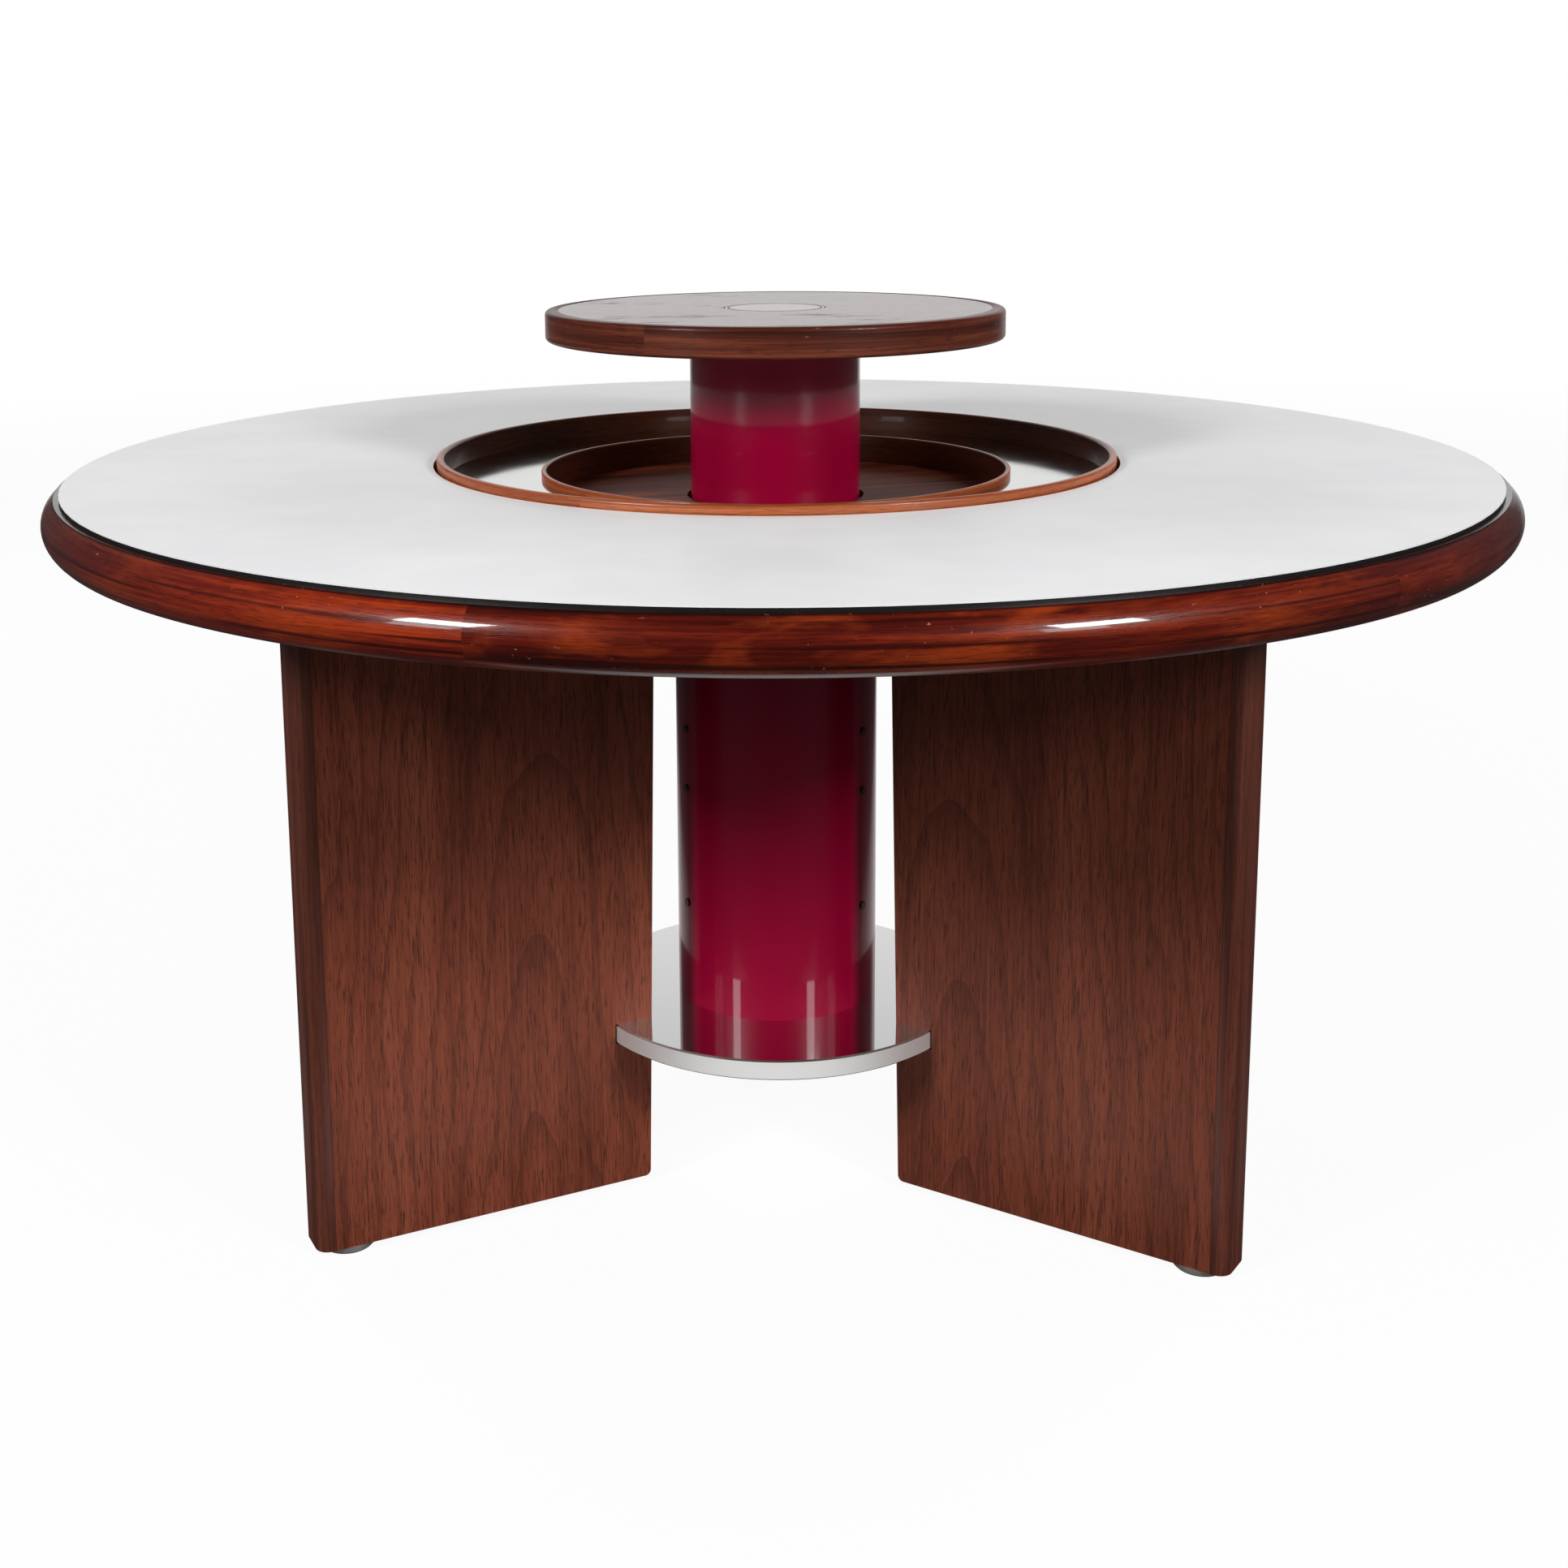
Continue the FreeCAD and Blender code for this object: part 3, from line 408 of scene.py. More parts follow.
def lip_material(index, angle):
    """The straight-grained solid lipping of a leg."""
    return wood("leg_lip_%d" % index, lambda nodes: upright_grain(nodes, angle), LIP_COLOURS,
                figure=(1.2, 90.0), roughness=(0.32, 0.45), shift=LIP_SHIFT * index, contrast=0.2)


# The rim.
RIM_COLOURS = (linear(60, 10, 6), linear(104, 25, 11), linear(150, 50, 18))
RIM_SHADE_SHARES = (0.8, 0.95, 1.1, 0.85, 1.0, 1.2)
RIM_SHIFT = 0.37
RIM_PATCH_SCALE = (7.0, 22.0, 22.0)
RIM_LINE_SCALE = (2.4, 150.0, 150.0)
RIM_LINE_COLOUR = linear(36, 6, 4)
RIM_LINE_EDGE = (0.34, 0.42)
RIM_LINE_SHARE = 0.85
GLOW_COLOUR = linear(168, 64, 22)
GLOW_EDGE = (0.52, 0.68)
GLOW_SHARE = 0.6
DEEP_COLOUR = linear(54, 8, 5)
DEEP_EDGE = (0.3, 0.48)
DEEP_SHARE = 0.75
# Painted shade: the rim's left and right ends are darkened and greyed.
RIM_END_SHADE_COLOUR = linear(60, 26, 26)
RIM_END_SHADE_SHARE = 0.82
# Painted shade: a dark band along the top of the rim, in its quirk.
QUIRK_SHADE_COLOUR = linear(18, 8, 7)
QUIRK_SHADE_SHARE = 0.85
QUIRK_FULL_SHARE = 1.0 / 3.0


def rim_material(index):
    """A rim segment, cut from a plank of its own shade."""
    seam = RIM_JOINT_ANGLE + RIM_SEGMENT_ANGLE * index
    colours = [toned(colour, RIM_SHADE_SHARES[index]) for colour in RIM_COLOURS]
    return wood("rim_wood_%d" % index, lambda nodes: round_grain(nodes, RIM_RADIUS, seam), colours,
                figure=(2.2, 60.0), roughness=(0.22, 0.34), shift=RIM_SHIFT * index, coat=0.45, sheen=0.12,
                overlay=rim_marks)


def rim_marks(nodes, straight, colour):
    """Patches, lines and knocks; painted shade at the rim's left and right ends, and a dark band of painted
    shade in the quirk on top.
    """
    patched = rim_patches(nodes, straight, colour)
    place = nodes.split(nodes.place())
    # Painted shade: far out to the left and right, the rim is mixed towards a dark grey-red.
    end = nodes.level(nodes.math("ABSOLUTE", place["X"]), 0.0, RIM_END_SHADE_SHARE, *RIM_END)
    shaded_ends = nodes.mix(end, patched, RIM_END_SHADE_COLOUR)
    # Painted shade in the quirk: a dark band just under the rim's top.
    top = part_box("rim_segment_1")[1].z
    quirk_edge = (top - QUIRK_SHADE, top - QUIRK_SHADE * QUIRK_FULL_SHARE)
    quirk_shade = nodes.level(place["Z"], 0.0, QUIRK_SHADE_SHARE, *quirk_edge)
    return worn_specks(nodes, straight, nodes.mix(quirk_shade, shaded_ends, QUIRK_SHADE_COLOUR))


def rim_patches(nodes, straight, colour):
    """Broad glowing and dark patches, and thin dark lines along the grain."""
    patch = nodes.drawn_noise(straight, RIM_PATCH_SCALE, detail=4.0, roughness=0.6, distortion=0.4)
    line = nodes.drawn_noise(straight, RIM_LINE_SCALE, detail=2.0, roughness=0.5, distortion=0.3)
    glow = nodes.mix(nodes.level(patch, 0.0, GLOW_SHARE, *GLOW_EDGE), colour, GLOW_COLOUR)
    deep = nodes.mix(nodes.level(patch, DEEP_SHARE, 0.0, *DEEP_EDGE), glow, DEEP_COLOUR)
    return nodes.mix(nodes.level(line, RIM_LINE_SHARE, 0.0, *RIM_LINE_EDGE), deep, RIM_LINE_COLOUR)


# Knocks on the rim and on the tray's lipping.
KNOCK_SCALE = (160.0, 240.0, 240.0)
KNOCK_EDGE = (0.68, 0.74)
KNOCK_PLACE_SCALE = (9.0, 9.0, 9.0)
KNOCK_PLACE_EDGE = (0.5, 0.6)
KNOCK_COLOUR = linear(206, 158, 128)
KNOCK_SHARE = 0.6


def worn_specks(nodes, straight, colour):
    """Small pale knocks in the polish."""
    knock = nodes.drawn_noise(straight, KNOCK_SCALE, detail=3.0)
    place = nodes.drawn_noise(straight, KNOCK_PLACE_SCALE, detail=2.0)
    shown = nodes.level(knock, 0.0, 1.0, *KNOCK_EDGE)
    rare = nodes.times(shown, nodes.level(place, 0.0, 1.0, *KNOCK_PLACE_EDGE))
    return nodes.mix(nodes.times(rare, KNOCK_SHARE), colour, KNOCK_COLOUR)


# The hoops of the pan.
HOOP_COLOURS = (linear(104, 46, 22), linear(156, 76, 38), linear(188, 106, 58))
INNER_HOOP_SHIFT = 0.6
# Painted shade: the hoops are darkened on their inner faces, down in the well.
HOOP_INSIDE_SHADE_COLOUR = linear(26, 10, 8)
HOOP_INSIDE_SHADE_SHARE = 0.88
SHADE_EDGE_SCALE = (30.0, 1.0, 90.0)


def hoop_material(name, radius, seam_angle, shade_radius, shift):
    """A hoop of the pan, bent from one strip."""
    return wood(name, lambda nodes: round_grain(nodes, radius, seam_angle), HOOP_COLOURS,
                figure=(2.0, 90.0), roughness=(0.3, 0.42), shift=shift, coat=0.12,
                overlay=shaded_inside(shade_radius))


def shaded_inside(radius):
    """A hoop darkened on its inner faces by painted shade, with a wavy edge; its outer face keeps the wood's
    colour.
    """
    def shade(nodes, straight, colour):
        across = nodes.split(straight)[1]
        patch = nodes.drawn_noise(straight, SHADE_EDGE_SCALE, detail=4.0)
        edge = nodes.math("ADD", across, nodes.level(patch, -SHADE_EDGE_SPREAD, SHADE_EDGE_SPREAD))
        # Painted shade: the inner faces are mixed far towards the dark inside colour.
        inner = nodes.mix(HOOP_INSIDE_SHADE_SHARE, colour, HOOP_INSIDE_SHADE_COLOUR)
        outside = nodes.level(edge, 0.0, 1.0, radius - SHADE_EDGE_SPREAD, radius + SHADE_EDGE_SPREAD)
        return nodes.mix(outside, inner, colour)
    return shade


# The tray, its button and the pan's inner floor.
TRAY_COLOURS = (linear(40, 15, 10), linear(82, 35, 23), linear(114, 57, 38))
TRAY_EDGE_SHIFT = 0.4
PAN_FLOOR_SHIFT = 0.8
STAIN_SCALE = (16.0, 130.0, 130.0)
STAIN_EDGE = (0.55, 0.63)
STAIN_PLACE_SCALE = (5.0, 8.0, 8.0)
STAIN_PLACE_EDGE = (0.5, 0.58)


def tray_grain(nodes):
    """The one sheet of veneer that the tray and its button are cut from."""
    return level_grain(nodes, TRAY_GRAIN_ANGLE)


def tray_stains(nodes, straight):
    """A few dull streaks where the polish has gone."""
    streak = nodes.drawn_noise(straight, STAIN_SCALE, detail=4.0, roughness=0.6, distortion=0.8)
    place = nodes.drawn_noise(straight, STAIN_PLACE_SCALE, detail=2.0)
    shown = nodes.level(streak, 0.0, 1.0, *STAIN_EDGE)
    return nodes.times(shown, nodes.level(place, 0.0, 1.0, *STAIN_PLACE_EDGE))


def tray_materials():
    """Materials of the tray, the button and the pan's inner floor, by node."""
    return {
        "tray_core": wood("tray_veneer", tray_grain, TRAY_COLOURS, figure=(2.2, 34.0),
                          roughness=(0.2, 0.32), coat=0.26, sheen=0.5, stains=tray_stains),
        "release_button": wood("tray_disc_veneer", tray_grain, TRAY_COLOURS, figure=(2.2, 34.0),
                               roughness=(0.17, 0.26), coat=0.34, sheen=0.6),
        "tray_edge": wood("tray_edge_wood", lambda nodes: round_grain(nodes, TRAY_RADIUS, TRAY_SEAM_ANGLE),
                          TRAY_COLOURS, figure=(2.0, 80.0), roughness=(0.3, 0.44), shift=TRAY_EDGE_SHIFT,
                          coat=0.08, sheen=0.14, overlay=worn_specks),
        "pan_inner_floor": wood("pan_floor_veneer", lambda nodes: level_grain(nodes, PAN_GRAIN_ANGLE),
                                TRAY_COLOURS, figure=(2.0, 30.0), roughness=(0.45, 0.55),
                                shift=PAN_FLOOR_SHIFT, sheen=0.06),
    }


def wood_materials():
    """Materials of the polished wood, by node."""
    table = tray_materials()
    table["pan_outer_ring"] = hoop_material("hoop_wood", HOOP_RADIUS, HOOP_SEAM_ANGLE, HOOP_SHADE_RADIUS, 0.0)
    table["pan_inner_ring"] = hoop_material("inner_hoop_wood", INNER_HOOP_RADIUS, INNER_HOOP_SEAM_ANGLE,
                                            INNER_HOOP_SHADE_RADIUS, INNER_HOOP_SHIFT)
    for index in range(len(RIM_SHADE_SHARES)):
        table["rim_segment_%d" % (index + 1)] = rim_material(index)
    for index, angle in enumerate(LEG_ANGLES):
        table["leg_panel_%d" % (index + 1)] = leg_material(index, angle)
        table["leg_lipping_%d" % (index + 1)] = lip_material(index, angle)
    return table


# Boards. A scale of one number is the same every way.
LAMINATE_COLOURS = (linear(241, 241, 243), linear(247, 247, 247))
LAMINATE_CLOUD_SCALE = 9.0
LAMINATE_CLOUD_EDGE = (0.35, 0.65)
LAMINATE_GRAIN_SCALE = 900.0
PLIES_PER_METRE = 420.0
PLY_GRAIN_SCALE = (5.0, 90.0, 90.0)
PLY_FACE_COLOURS = ((0.3, linear(168, 128, 86)), (0.7, linear(206, 170, 124)))
PLY_BAND_COLOUR = linear(120, 82, 52)
PLY_BAND_SHARE = 0.35
PLY_ROUGHNESS = 0.62


def laminate(name):
    """White laminate, very slightly cloudy, with a fine grain."""
    nodes = MaterialNodes(name)
    cloud = nodes.noise(nodes.place(), LAMINATE_CLOUD_SCALE, detail=3.0)
    grain = nodes.noise(nodes.place(), LAMINATE_GRAIN_SCALE, detail=2.0)
    colour = nodes.mix(nodes.level(cloud, 0.0, 1.0, *LAMINATE_CLOUD_EDGE), *LAMINATE_COLOURS)
    nodes.set(Base_Color=colour, Roughness=nodes.level(cloud, 0.38, 0.46), Specular_IOR_Level=0.3)
    nodes.bump(grain, LAMINATE_RELIEF, FAINT_RELIEF_SHARE)
    return nodes.material


def plywood(name):
    """Glued veneers, seen as bands on an edge and as open grain on a face."""
    nodes = MaterialNodes(name)
    place = nodes.place()
    ply = nodes.math("FRACT", nodes.times(nodes.split(place)["Z"], PLIES_PER_METRE))
    band = nodes.math("GREATER_THAN", ply, 0.5)
    grain = nodes.drawn_noise(place, PLY_GRAIN_SCALE, detail=5.0, roughness=0.6)
    face = nodes.ramp(grain, PLY_FACE_COLOURS)
    nodes.set(Base_Color=nodes.mix(nodes.times(band, PLY_BAND_SHARE), face, PLY_BAND_COLOUR),
              Roughness=PLY_ROUGHNESS)
    nodes.bump(grain, PLY_RELIEF, FULL_RELIEF_SHARE)
    return nodes.material


# Metal, lacquer and plastic.
SMEAR_SCALE = 22.0
BRUSH_SCALE = (6.0, 2200.0, 2200.0)
BRUSH_SHARE = 0.16
BRUSH_TONE_SHARE = 0.62
METAL_COAT_ROUGHNESS = 0.06
STEEL_COLOUR = (0.56, 0.57, 0.58)
BRIGHT_COLOUR = (0.74, 0.74, 0.73)
ALUMINIUM_COLOUR = (0.58, 0.58, 0.57)
PLATE_COLOUR = (0.74, 0.73, 0.73)
PALE_METAL_COLOUR = (0.86, 0.85, 0.84)
MAGENTA_COLOUR = linear(144, 1, 46)
TRIM_SMEAR_SCALE = 120.0
TRIM_COLOURS = ((0.5, 0.49, 0.46), (0.75, 0.74, 0.7))
# Dark colour of the trim ring's grooves: partly tarnish, partly painted shade.
GROOVE_TARNISH_AND_SHADE_COLOUR = (0.03, 0.025, 0.02)
SKIN_SCALE = 700.0
SKIN_CLOUD_SCALE = 30.0
SKIN_CLOUD_SHARE = 0.35
SKIN_TONE_SHARE = 0.6
SKIN_ROUGHNESS_SPREAD = (-0.05, 0.08)


def metal(name, colour, roughness, brushed=None, metallic=1.0, coat=0.0, sheen=0.5, edge_roughness=0.0):
    """Metal or lacquer with faint smears and brush lines; a sawn edge can be rougher than the faces, and
    then gets the pale metal colour as a painted highlight.
    """
    nodes = MaterialNodes(name)
    smear = nodes.noise(nodes.place(), SMEAR_SCALE, detail=4.0)
    vector = brushed(nodes) if brushed else nodes.place()
    line = nodes.drawn_noise(vector, BRUSH_SCALE, detail=2.0)
    tint = nodes.mix(nodes.level(line, 0.0, BRUSH_SHARE), colour, toned(colour, BRUSH_TONE_SHARE))
    haze = nodes.level(smear, *roughness)
    if edge_roughness:
        normal = nodes.add("ShaderNodeNewGeometry").outputs["Normal"]
        facing = nodes.math("ABSOLUTE", nodes.split(normal)["Z"])
        haze = nodes.math("ADD", haze, nodes.level(facing, edge_roughness, 0.0))
        # Painted highlight: upright edges get the pale metal colour, so they shine brighter.
        tint = nodes.mix(facing, PALE_METAL_COLOUR, tint)
    nodes.set(Base_Color=tint, Metallic=metallic, Roughness=haze, Specular_IOR_Level=sheen,
              Coat_Weight=coat, Coat_Roughness=METAL_COAT_ROUGHNESS)
    nodes.bump(line, BRUSH_RELIEF, FAINT_RELIEF_SHARE)
    return nodes.material


def trim_metal(name):
    """A thin bright band between two dark grooves, painted dark partly as tarnish and partly as painted
    shade.
    """
    nodes = MaterialNodes(name)
    across = nodes.split(ring_brush(nodes))[1]
    inner, outer = TRIM_BAND
    middle = nodes.times(nodes.math("GREATER_THAN", across, inner), nodes.math("LESS_THAN", across, outer))
    smear = nodes.noise(nodes.place(), TRIM_SMEAR_SCALE, detail=3.0)
    bright = nodes.mix(smear, *TRIM_COLOURS)
    nodes.set(Base_Color=nodes.mix(middle, GROOVE_TARNISH_AND_SHADE_COLOUR, bright), Metallic=0.9,
              Roughness=nodes.level(smear, 0.25, 0.4))
    nodes.bump(smear, TRIM_RELIEF, FAINT_RELIEF_SHARE)
    return nodes.material


def moulded(name, colour, roughness):
    """Plastic, paint or blacked metal with a fine skin."""
    nodes = MaterialNodes(name)
    skin = nodes.noise(nodes.place(), SKIN_SCALE, detail=2.0)
    cloud = nodes.noise(nodes.place(), SKIN_CLOUD_SCALE, detail=3.0)
    tint = nodes.mix(nodes.level(cloud, 0.0, SKIN_CLOUD_SHARE), colour, toned(colour, SKIN_TONE_SHARE))
    smoothest, roughest = [roughness + spread for spread in SKIN_ROUGHNESS_SPREAD]
    nodes.set(Base_Color=tint, Roughness=nodes.level(cloud, smoothest, roughest))
    nodes.bump(skin, SKIN_RELIEF, FAINT_RELIEF_SHARE)
    return nodes.material


def metal_materials():
    """Materials of the metal and lacquered nodes that aren't plain steel, by node."""
    bright = metal("polished_steel", BRIGHT_COLOUR, roughness=(0.1, 0.2), brushed=ring_brush)
    magenta = metal("magenta_lacquer", MAGENTA_COLOUR, roughness=(0.3, 0.38), brushed=ring_brush,
                    metallic=0.0, coat=0.46, sheen=0.12)
    table = {
        "column_outer_tube": magenta,
        "lift_tube": magenta,
        "pan_floor_sheet": metal("polished_aluminium", ALUMINIUM_COLOUR, roughness=(0.06, 0.12),
                                 brushed=ring_brush),
        "spreader_plate": metal("polished_plate", PLATE_COLOUR, roughness=(0.02, 0.06),
                                brushed=ring_brush, edge_roughness=0.6),
        "leg_glides": metal("glide_steel", PALE_METAL_COLOUR, roughness=(0.38, 0.5), brushed=ring_brush),
        "tray_trim_ring": trim_metal("trim_ring"),
    }
    for node in ("plate_bolts", "column_base_bolts", "bracket_bolts", "gas_spring_rod", "bearing_rollers",
                 "valve_pin"):
        table[node] = bright
    return table


def dark_materials():
    """Materials of the black and dark plastic nodes, by node."""
    screw = moulded("black_screw", linear(14, 13, 13), roughness=0.35)
    nylon = moulded("nylon", linear(30, 29, 29), roughness=0.45)
    table = {
        "top_edge_strip": moulded("black_edge", linear(22, 20, 20), roughness=0.38),
        "gas_spring_cylinder": moulded("spring_black", linear(18, 18, 19), roughness=0.3),
    }
    for node in ("guide_rail_screws", "bracket_screws", "base_board_screws", "column_flange_screws",
                 "tray_flange_screws"):
        table[node] = screw
    for node in ("lift_foot_collar", "upper_guide_bush", "stem_bush"):
        table[node] = nylon
    for index in range(len(LEG_ANGLES)):
        table["guide_rail_%d" % (index + 1)] = nylon
    return table


def build_materials():
    """One material for each node, by name; a node that no table names is plain steel."""
    steel = metal("steel", STEEL_COLOUR, roughness=(0.3, 0.42))
    ply = plywood("core_board")
    table = {
        "top_laminate": laminate("white_laminate"),
        "top_core": ply,
        "base_board": ply,
        "pan_floor_board": ply,
        **wood_materials(),
        **metal_materials(),
        **dark_materials(),
    }
    return {name: table.get(name, steel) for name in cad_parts}


def dress_nodes():
    """Give each CAD node its material and clean shading."""
    for name, material in build_materials().items():
        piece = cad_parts[name]
        piece.data.materials.clear()
        piece.data.materials.append(material)
        for polygon in piece.data.polygons:
            polygon.use_smooth = True
            polygon.material_index = 0
        weld = piece.modifiers.new("weld", "WELD")
        weld.merge_threshold = WELD_DISTANCE
        split = piece.modifiers.new("split", "EDGE_SPLIT")
        split.split_angle = radians(EDGE_SPLIT_ANGLE)


def eased(corners):
    """Profile points (radius, height); each square corner (radius, height, round) becomes an arc."""
    points = []
    for index, (radius, height, ease) in enumerate(corners):
        corner = Vector((radius, height))
        if ease == 0.0:
            points.append(corner)
            continue
        back = (Vector(corners[index - 1][:2]) - corner).normalized()
        ahead = (Vector(corners[(index + 1) % len(corners)][:2]) - corner).normalized()
        centre = corner + ease * (back + ahead)
        for step in range(ROUND_STEPS + 1):
            angle = radians(90.0) * (1.0 - step / ROUND_STEPS)
            points.append(centre - ease * (back * cos(angle) + ahead * sin(angle)))
    return points


def turned_mesh(name, points):
    """Ring turned about the upright axis from a closed profile."""
    mesh = bpy.data.meshes.new(name)
    shape = bmesh.new()
    loops = []
    for index in range(TURNED_SEGMENTS):
        angle = radians(360.0 * index / TURNED_SEGMENTS)
        loops.append([shape.verts.new((r * cos(angle), r * sin(angle), z)) for r, z in points])
    for index, loop in enumerate(loops):
        after = loops[(index + 1) % TURNED_SEGMENTS]
        for low in range(len(points)):
            high = (low + 1) % len(points)
            shape.faces.new((loop[low], after[low], after[high], loop[high]))
    for face in shape.faces:
        face.smooth = True
    for edge in shape.edges:
        edge.smooth = edge.calc_face_angle() < radians(EDGE_SPLIT_ANGLE)
    shape.to_mesh(mesh)
    shape.free()
    return mesh


def ring_corners(node, wall, rounds):
    """Corners of a plain ring; rounds are for the outer foot, the outer top and the inner top."""
    low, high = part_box(node)
    outer = high.x
    inner = outer - wall
    foot, top_outside, top_inside = rounds
    return ((inner, low.z, 0.0), (outer, low.z, foot),
            (outer, high.z, top_outside), (inner, high.z, top_inside))


def trim_corners(node):
    """Corners of the trim ring, with a narrow groove along both of its edges."""
    low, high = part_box(node)
    outer = high.x
    inner = outer - TRIM_WIDTH
    groove = high.z - TRIM_GROOVE_DEPTH
    band_inner, band_outer = TRIM_BAND
    points = ((inner, low.z), (outer, low.z), (outer, groove), (band_outer, groove),
              (band_outer, high.z), (band_inner, high.z), (band_inner, groove), (inner, groove))
    return [(radius, height, 0.0) for radius, height in points]


def turned_piece(name, node, body, corners):
    """Finely turned ring in place of a CAD ring."""
    piece = bpy.data.objects.new(name, turned_mesh(name, eased(corners)))
    bpy.context.scene.collection.objects.link(piece)
    piece.data.materials.append(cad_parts[node].data.materials[0])
    weighted = piece.modifiers.new("weighted", "WEIGHTED_NORMAL")
    weighted.keep_sharp = True
    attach(piece, body)
    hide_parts(node)


def build_turned_rings():
    """The tray's lipping and trim ring and the pan's two hoops, whose small edges catch the light."""
    turned_piece("turned_tray_edge", "tray_edge", "lift",
                 ring_corners("tray_edge", TRAY_EDGE_WIDTH, (TRAY_EDGE_ROUND, TRAY_EDGE_ROUND, 0.0)))
    turned_piece("turned_outer_hoop", "pan_outer_ring", "revolving_pan",
                 ring_corners("pan_outer_ring", HOOP_WALL, (0.0, HOOP_ROUND, HOOP_ROUND)))
    turned_piece("turned_inner_hoop", "pan_inner_ring", "revolving_pan",
                 ring_corners("pan_inner_ring", INNER_HOOP_WALL,
                              (0.0, INNER_HOOP_ROUND, INNER_HOOP_ROUND)))
    turned_piece("turned_trim_ring", "tray_trim_ring", "lift",
                 trim_corners("tray_trim_ring"))


# The floor's look: to the camera, to the light that it throws back, and in mirrors.
PAPER_SCALE = 300.0
FLOOR_COLOURS = (linear(244, 244, 244), linear(250, 250, 250))
FLOOR_UNSEEN_COLOUR = linear(86, 86, 86)
FLOOR_DIM_COLOUR = linear(56, 56, 56)
FLOOR_ROUGHNESS = 0.9


def build_floor():
    """A round white floor, which is staging."""
    mesh = bpy.data.meshes.new("floor")
    work = bmesh.new()
    bmesh.ops.create_circle(work, cap_ends=True, segments=FLOOR_SEGMENTS, radius=FLOOR_RADIUS)
    work.to_mesh(mesh)
    work.free()
    floor = bpy.data.objects.new("floor", mesh)
    bpy.context.collection.objects.link(floor)
    mesh.materials.append(floor_material())


def light_pool(nodes, x, y):
    """The bright patch of floor that the front of the plate's edge mirrors."""
    slant = nodes.math("DIVIDE", nodes.math("ABSOLUTE", x), nodes.math("ABSOLUTE", y))
    ahead = nodes.times(y, -1.0)
    near = nodes.times(nodes.level(ahead, 0.0, 1.0, *POOL_NEAR), nodes.level(ahead, 1.0, 0.0, *POOL_FAR))
    return nodes.times(near, nodes.level(slant, 1.0, 0.0, *POOL_SLANT))


def floor_material():
    """Pale floor with the object's shadow, which fades into the white background.

    It glows to the camera all over, and to mirrored rays only behind the table and in the pool of light.
    """
    nodes = MaterialNodes("floor_white")
    path = nodes.add("ShaderNodeLightPath").outputs
    mirrored = path["Is Glossy Ray"]
    x, y = nodes.split(nodes.place())[:2]
    pool = light_pool(nodes, x, y)
    middle = nodes.level(nodes.math("ABSOLUTE", x), 1.0, 0.0, *FLOOR_SIDE)
    behind = nodes.times(nodes.level(y, 0.0, 1.0, *FLOOR_BEHIND), middle)
    bright = nodes.times(mirrored, nodes.math("MAXIMUM", behind, pool))
    seen = nodes.math("MAXIMUM", path["Is Camera Ray"], bright)
    pale = nodes.mix(nodes.noise(nodes.place(), PAPER_SCALE, detail=2.0), *FLOOR_COLOURS)
    unseen = nodes.mix(mirrored, FLOOR_UNSEEN_COLOUR, FLOOR_DIM_COLOUR)
    nodes.set(Base_Color=nodes.mix(seen, unseen, pale), Roughness=FLOOR_ROUGHNESS)
    glow = nodes.add("ShaderNodeEmission")
    nodes.feed(glow.inputs["Strength"], nodes.level(nodes.times(mirrored, pool), 1.0, POOL_STRENGTH))
    lit = nodes.mix_shaders(nodes.times(seen, FLOOR_GLOW_SHARE), nodes.shader.outputs[0], glow.outputs[0])
    clear = nodes.add("ShaderNodeBsdfTransparent").outputs[0]
    faded = nodes.mix_shaders(nodes.level(nodes.reach(x, y), 0.0, 1.0, *FLOOR_FADE), lit, clear)
    nodes.feed(nodes.tree.nodes["Material Output"].inputs[0], faded)
    return nodes.material


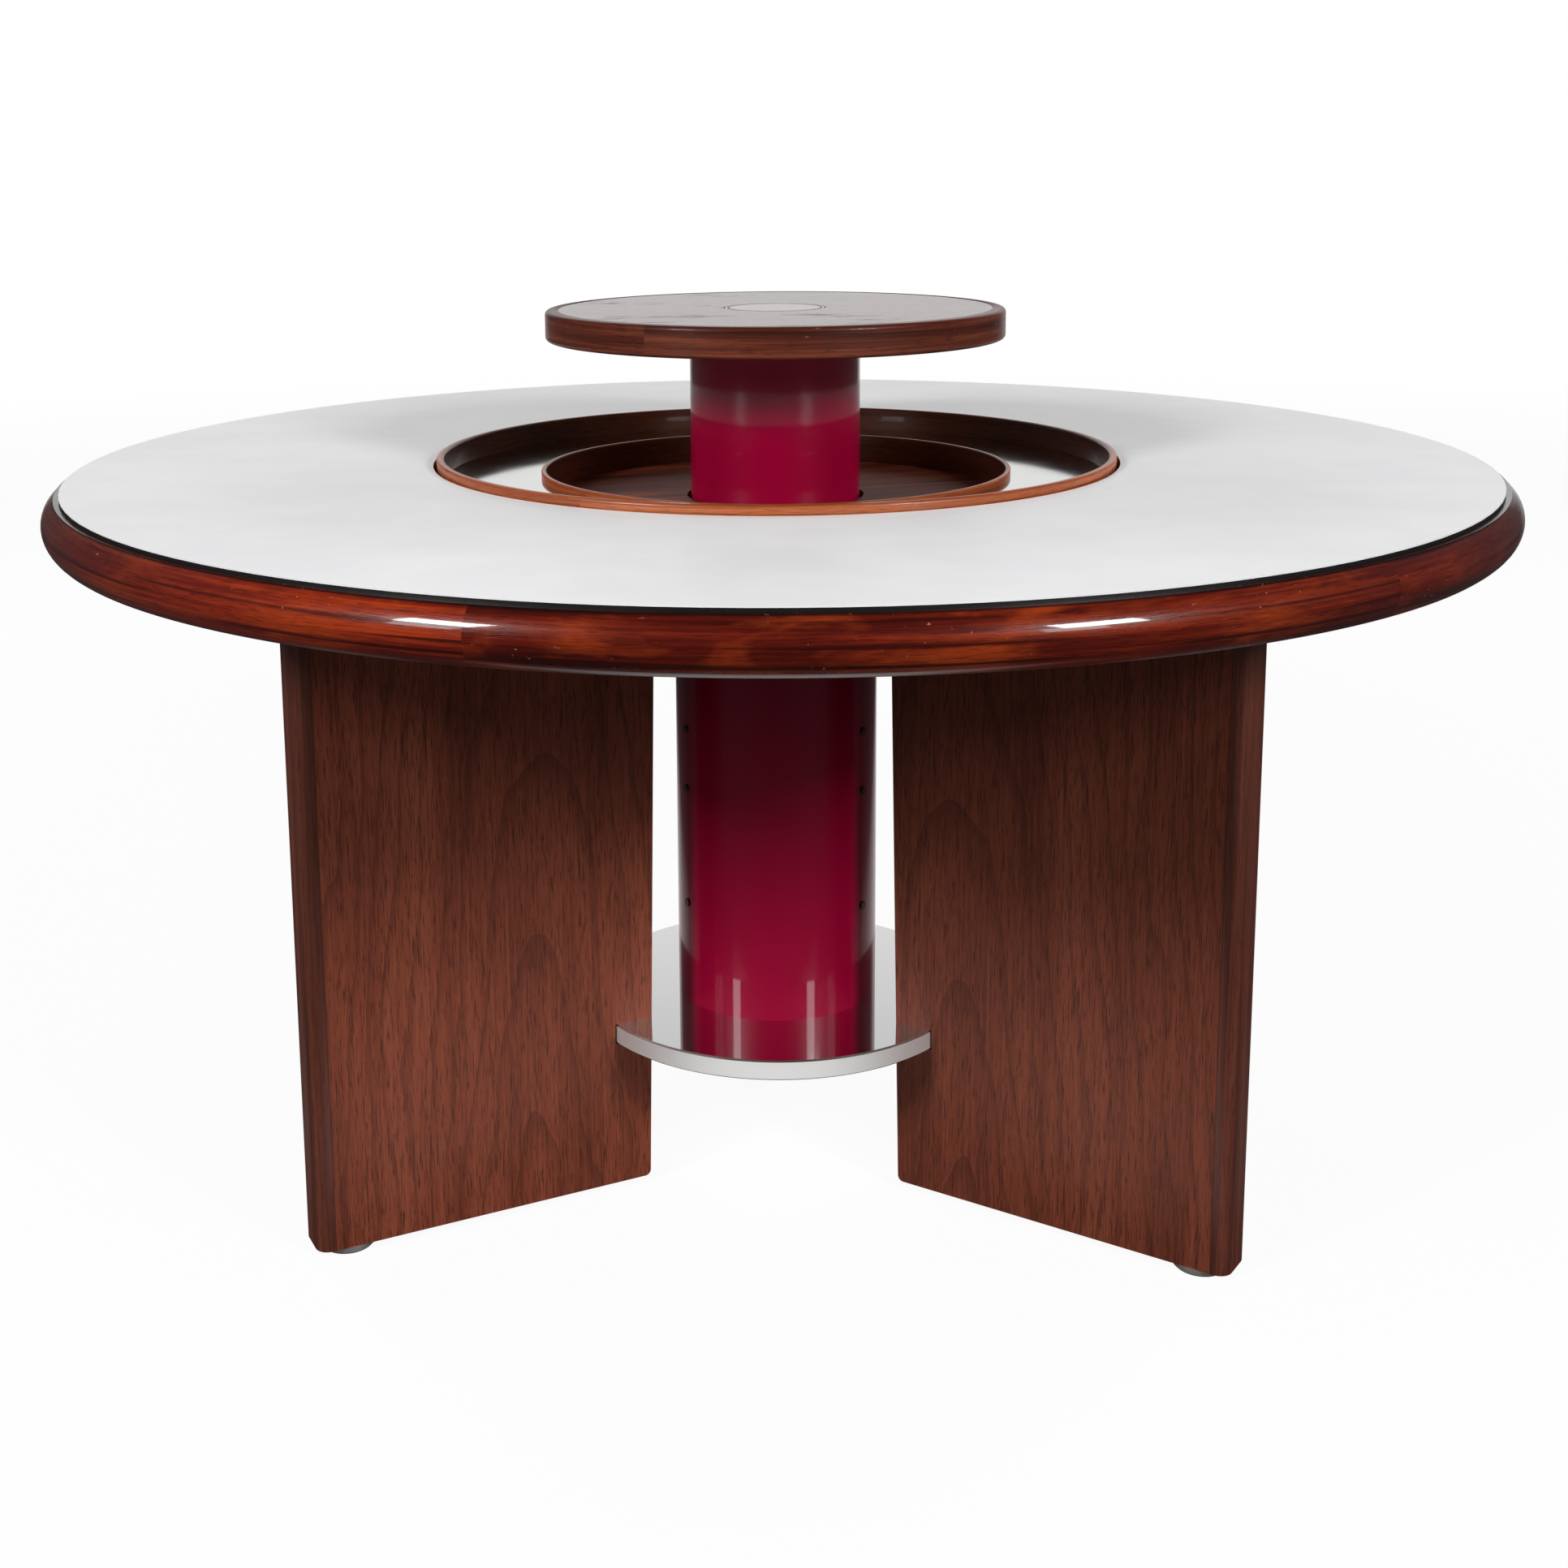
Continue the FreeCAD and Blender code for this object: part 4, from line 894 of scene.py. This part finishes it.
def build_world():
    """White where it is seen; in mirrors dim overhead, in front and at the sides; even where it lights."""
    world = bpy.data.worlds.new("studio")
    bpy.context.scene.world = world
    world.use_nodes = True
    nodes = Nodes(world.node_tree)
    x, y, z = nodes.split(nodes.add("ShaderNodeTexCoord").outputs["Generated"])
    lowest = nodes.level(z, 1.0, DIM_LEVEL, *CEILING_FADE)
    for direction, fade in ((y, FRONT_FADE), (x, LEFT_FADE), (x, RIGHT_FADE)):
        lowest = nodes.math("MINIMUM", lowest, nodes.level(direction, 1.0, DIM_LEVEL, *fade))
    path = nodes.add("ShaderNodeLightPath").outputs
    unseen = nodes.mix_values(path["Is Glossy Ray"], WORLD_LEVEL, lowest)
    sky = nodes.tree.nodes["Background"]
    nodes.feed(sky.inputs["Strength"], nodes.mix_values(path["Is Camera Ray"], unseen, 1.0))
    nodes.feed(sky.inputs["Color"], (1.0, 1.0, 1.0, 1.0))


def build_lamp(name, azimuth, elevation, size, power, mirrored):
    """A rectangular lamp that faces the table from this direction."""
    lamp = bpy.data.lights.new(name, "AREA")
    lamp.shape = "RECTANGLE"
    lamp.size, lamp.size_y = size
    lamp.energy = power
    box = bpy.data.objects.new(name, lamp)
    flat = cos(radians(elevation)) * LAMP_DISTANCE
    away = Vector((sin(radians(azimuth)) * flat, -cos(radians(azimuth)) * flat,
                   sin(radians(elevation)) * LAMP_DISTANCE))
    box.location = Vector(LAMP_AIM) + away
    box.rotation_euler = away.to_track_quat("Z", "Y").to_euler()
    box.visible_glossy = mirrored
    bpy.context.collection.objects.link(box)


def build_camera():
    """The camera that took the photo, with its shift because the photo is a cut-out."""
    data = bpy.data.cameras.new("camera")
    data.sensor_fit = "HORIZONTAL"
    data.sensor_width = SENSOR_WIDTH
    data.lens = CAMERA_LENS
    data.shift_x, data.shift_y = CAMERA_SHIFT
    camera = bpy.data.objects.new("camera", data)
    bpy.context.collection.objects.link(camera)
    heading = Matrix.Rotation(radians(CAMERA_HEADING), 4, "Z")
    pitch = Matrix.Rotation(radians(90.0 - CAMERA_PITCH), 4, "X")
    roll = Matrix.Rotation(radians(CAMERA_ROLL), 4, "Z")
    camera.matrix_world = Matrix.Translation(CAMERA_PLACE) @ heading @ pitch @ roll
    bpy.context.scene.camera = camera


dress_nodes()
build_turned_rings()
build_floor()
build_world()
for lamp_values in LAMPS:
    build_lamp(*lamp_values)
build_camera()
bpy.context.scene.view_settings.view_transform = "Standard"
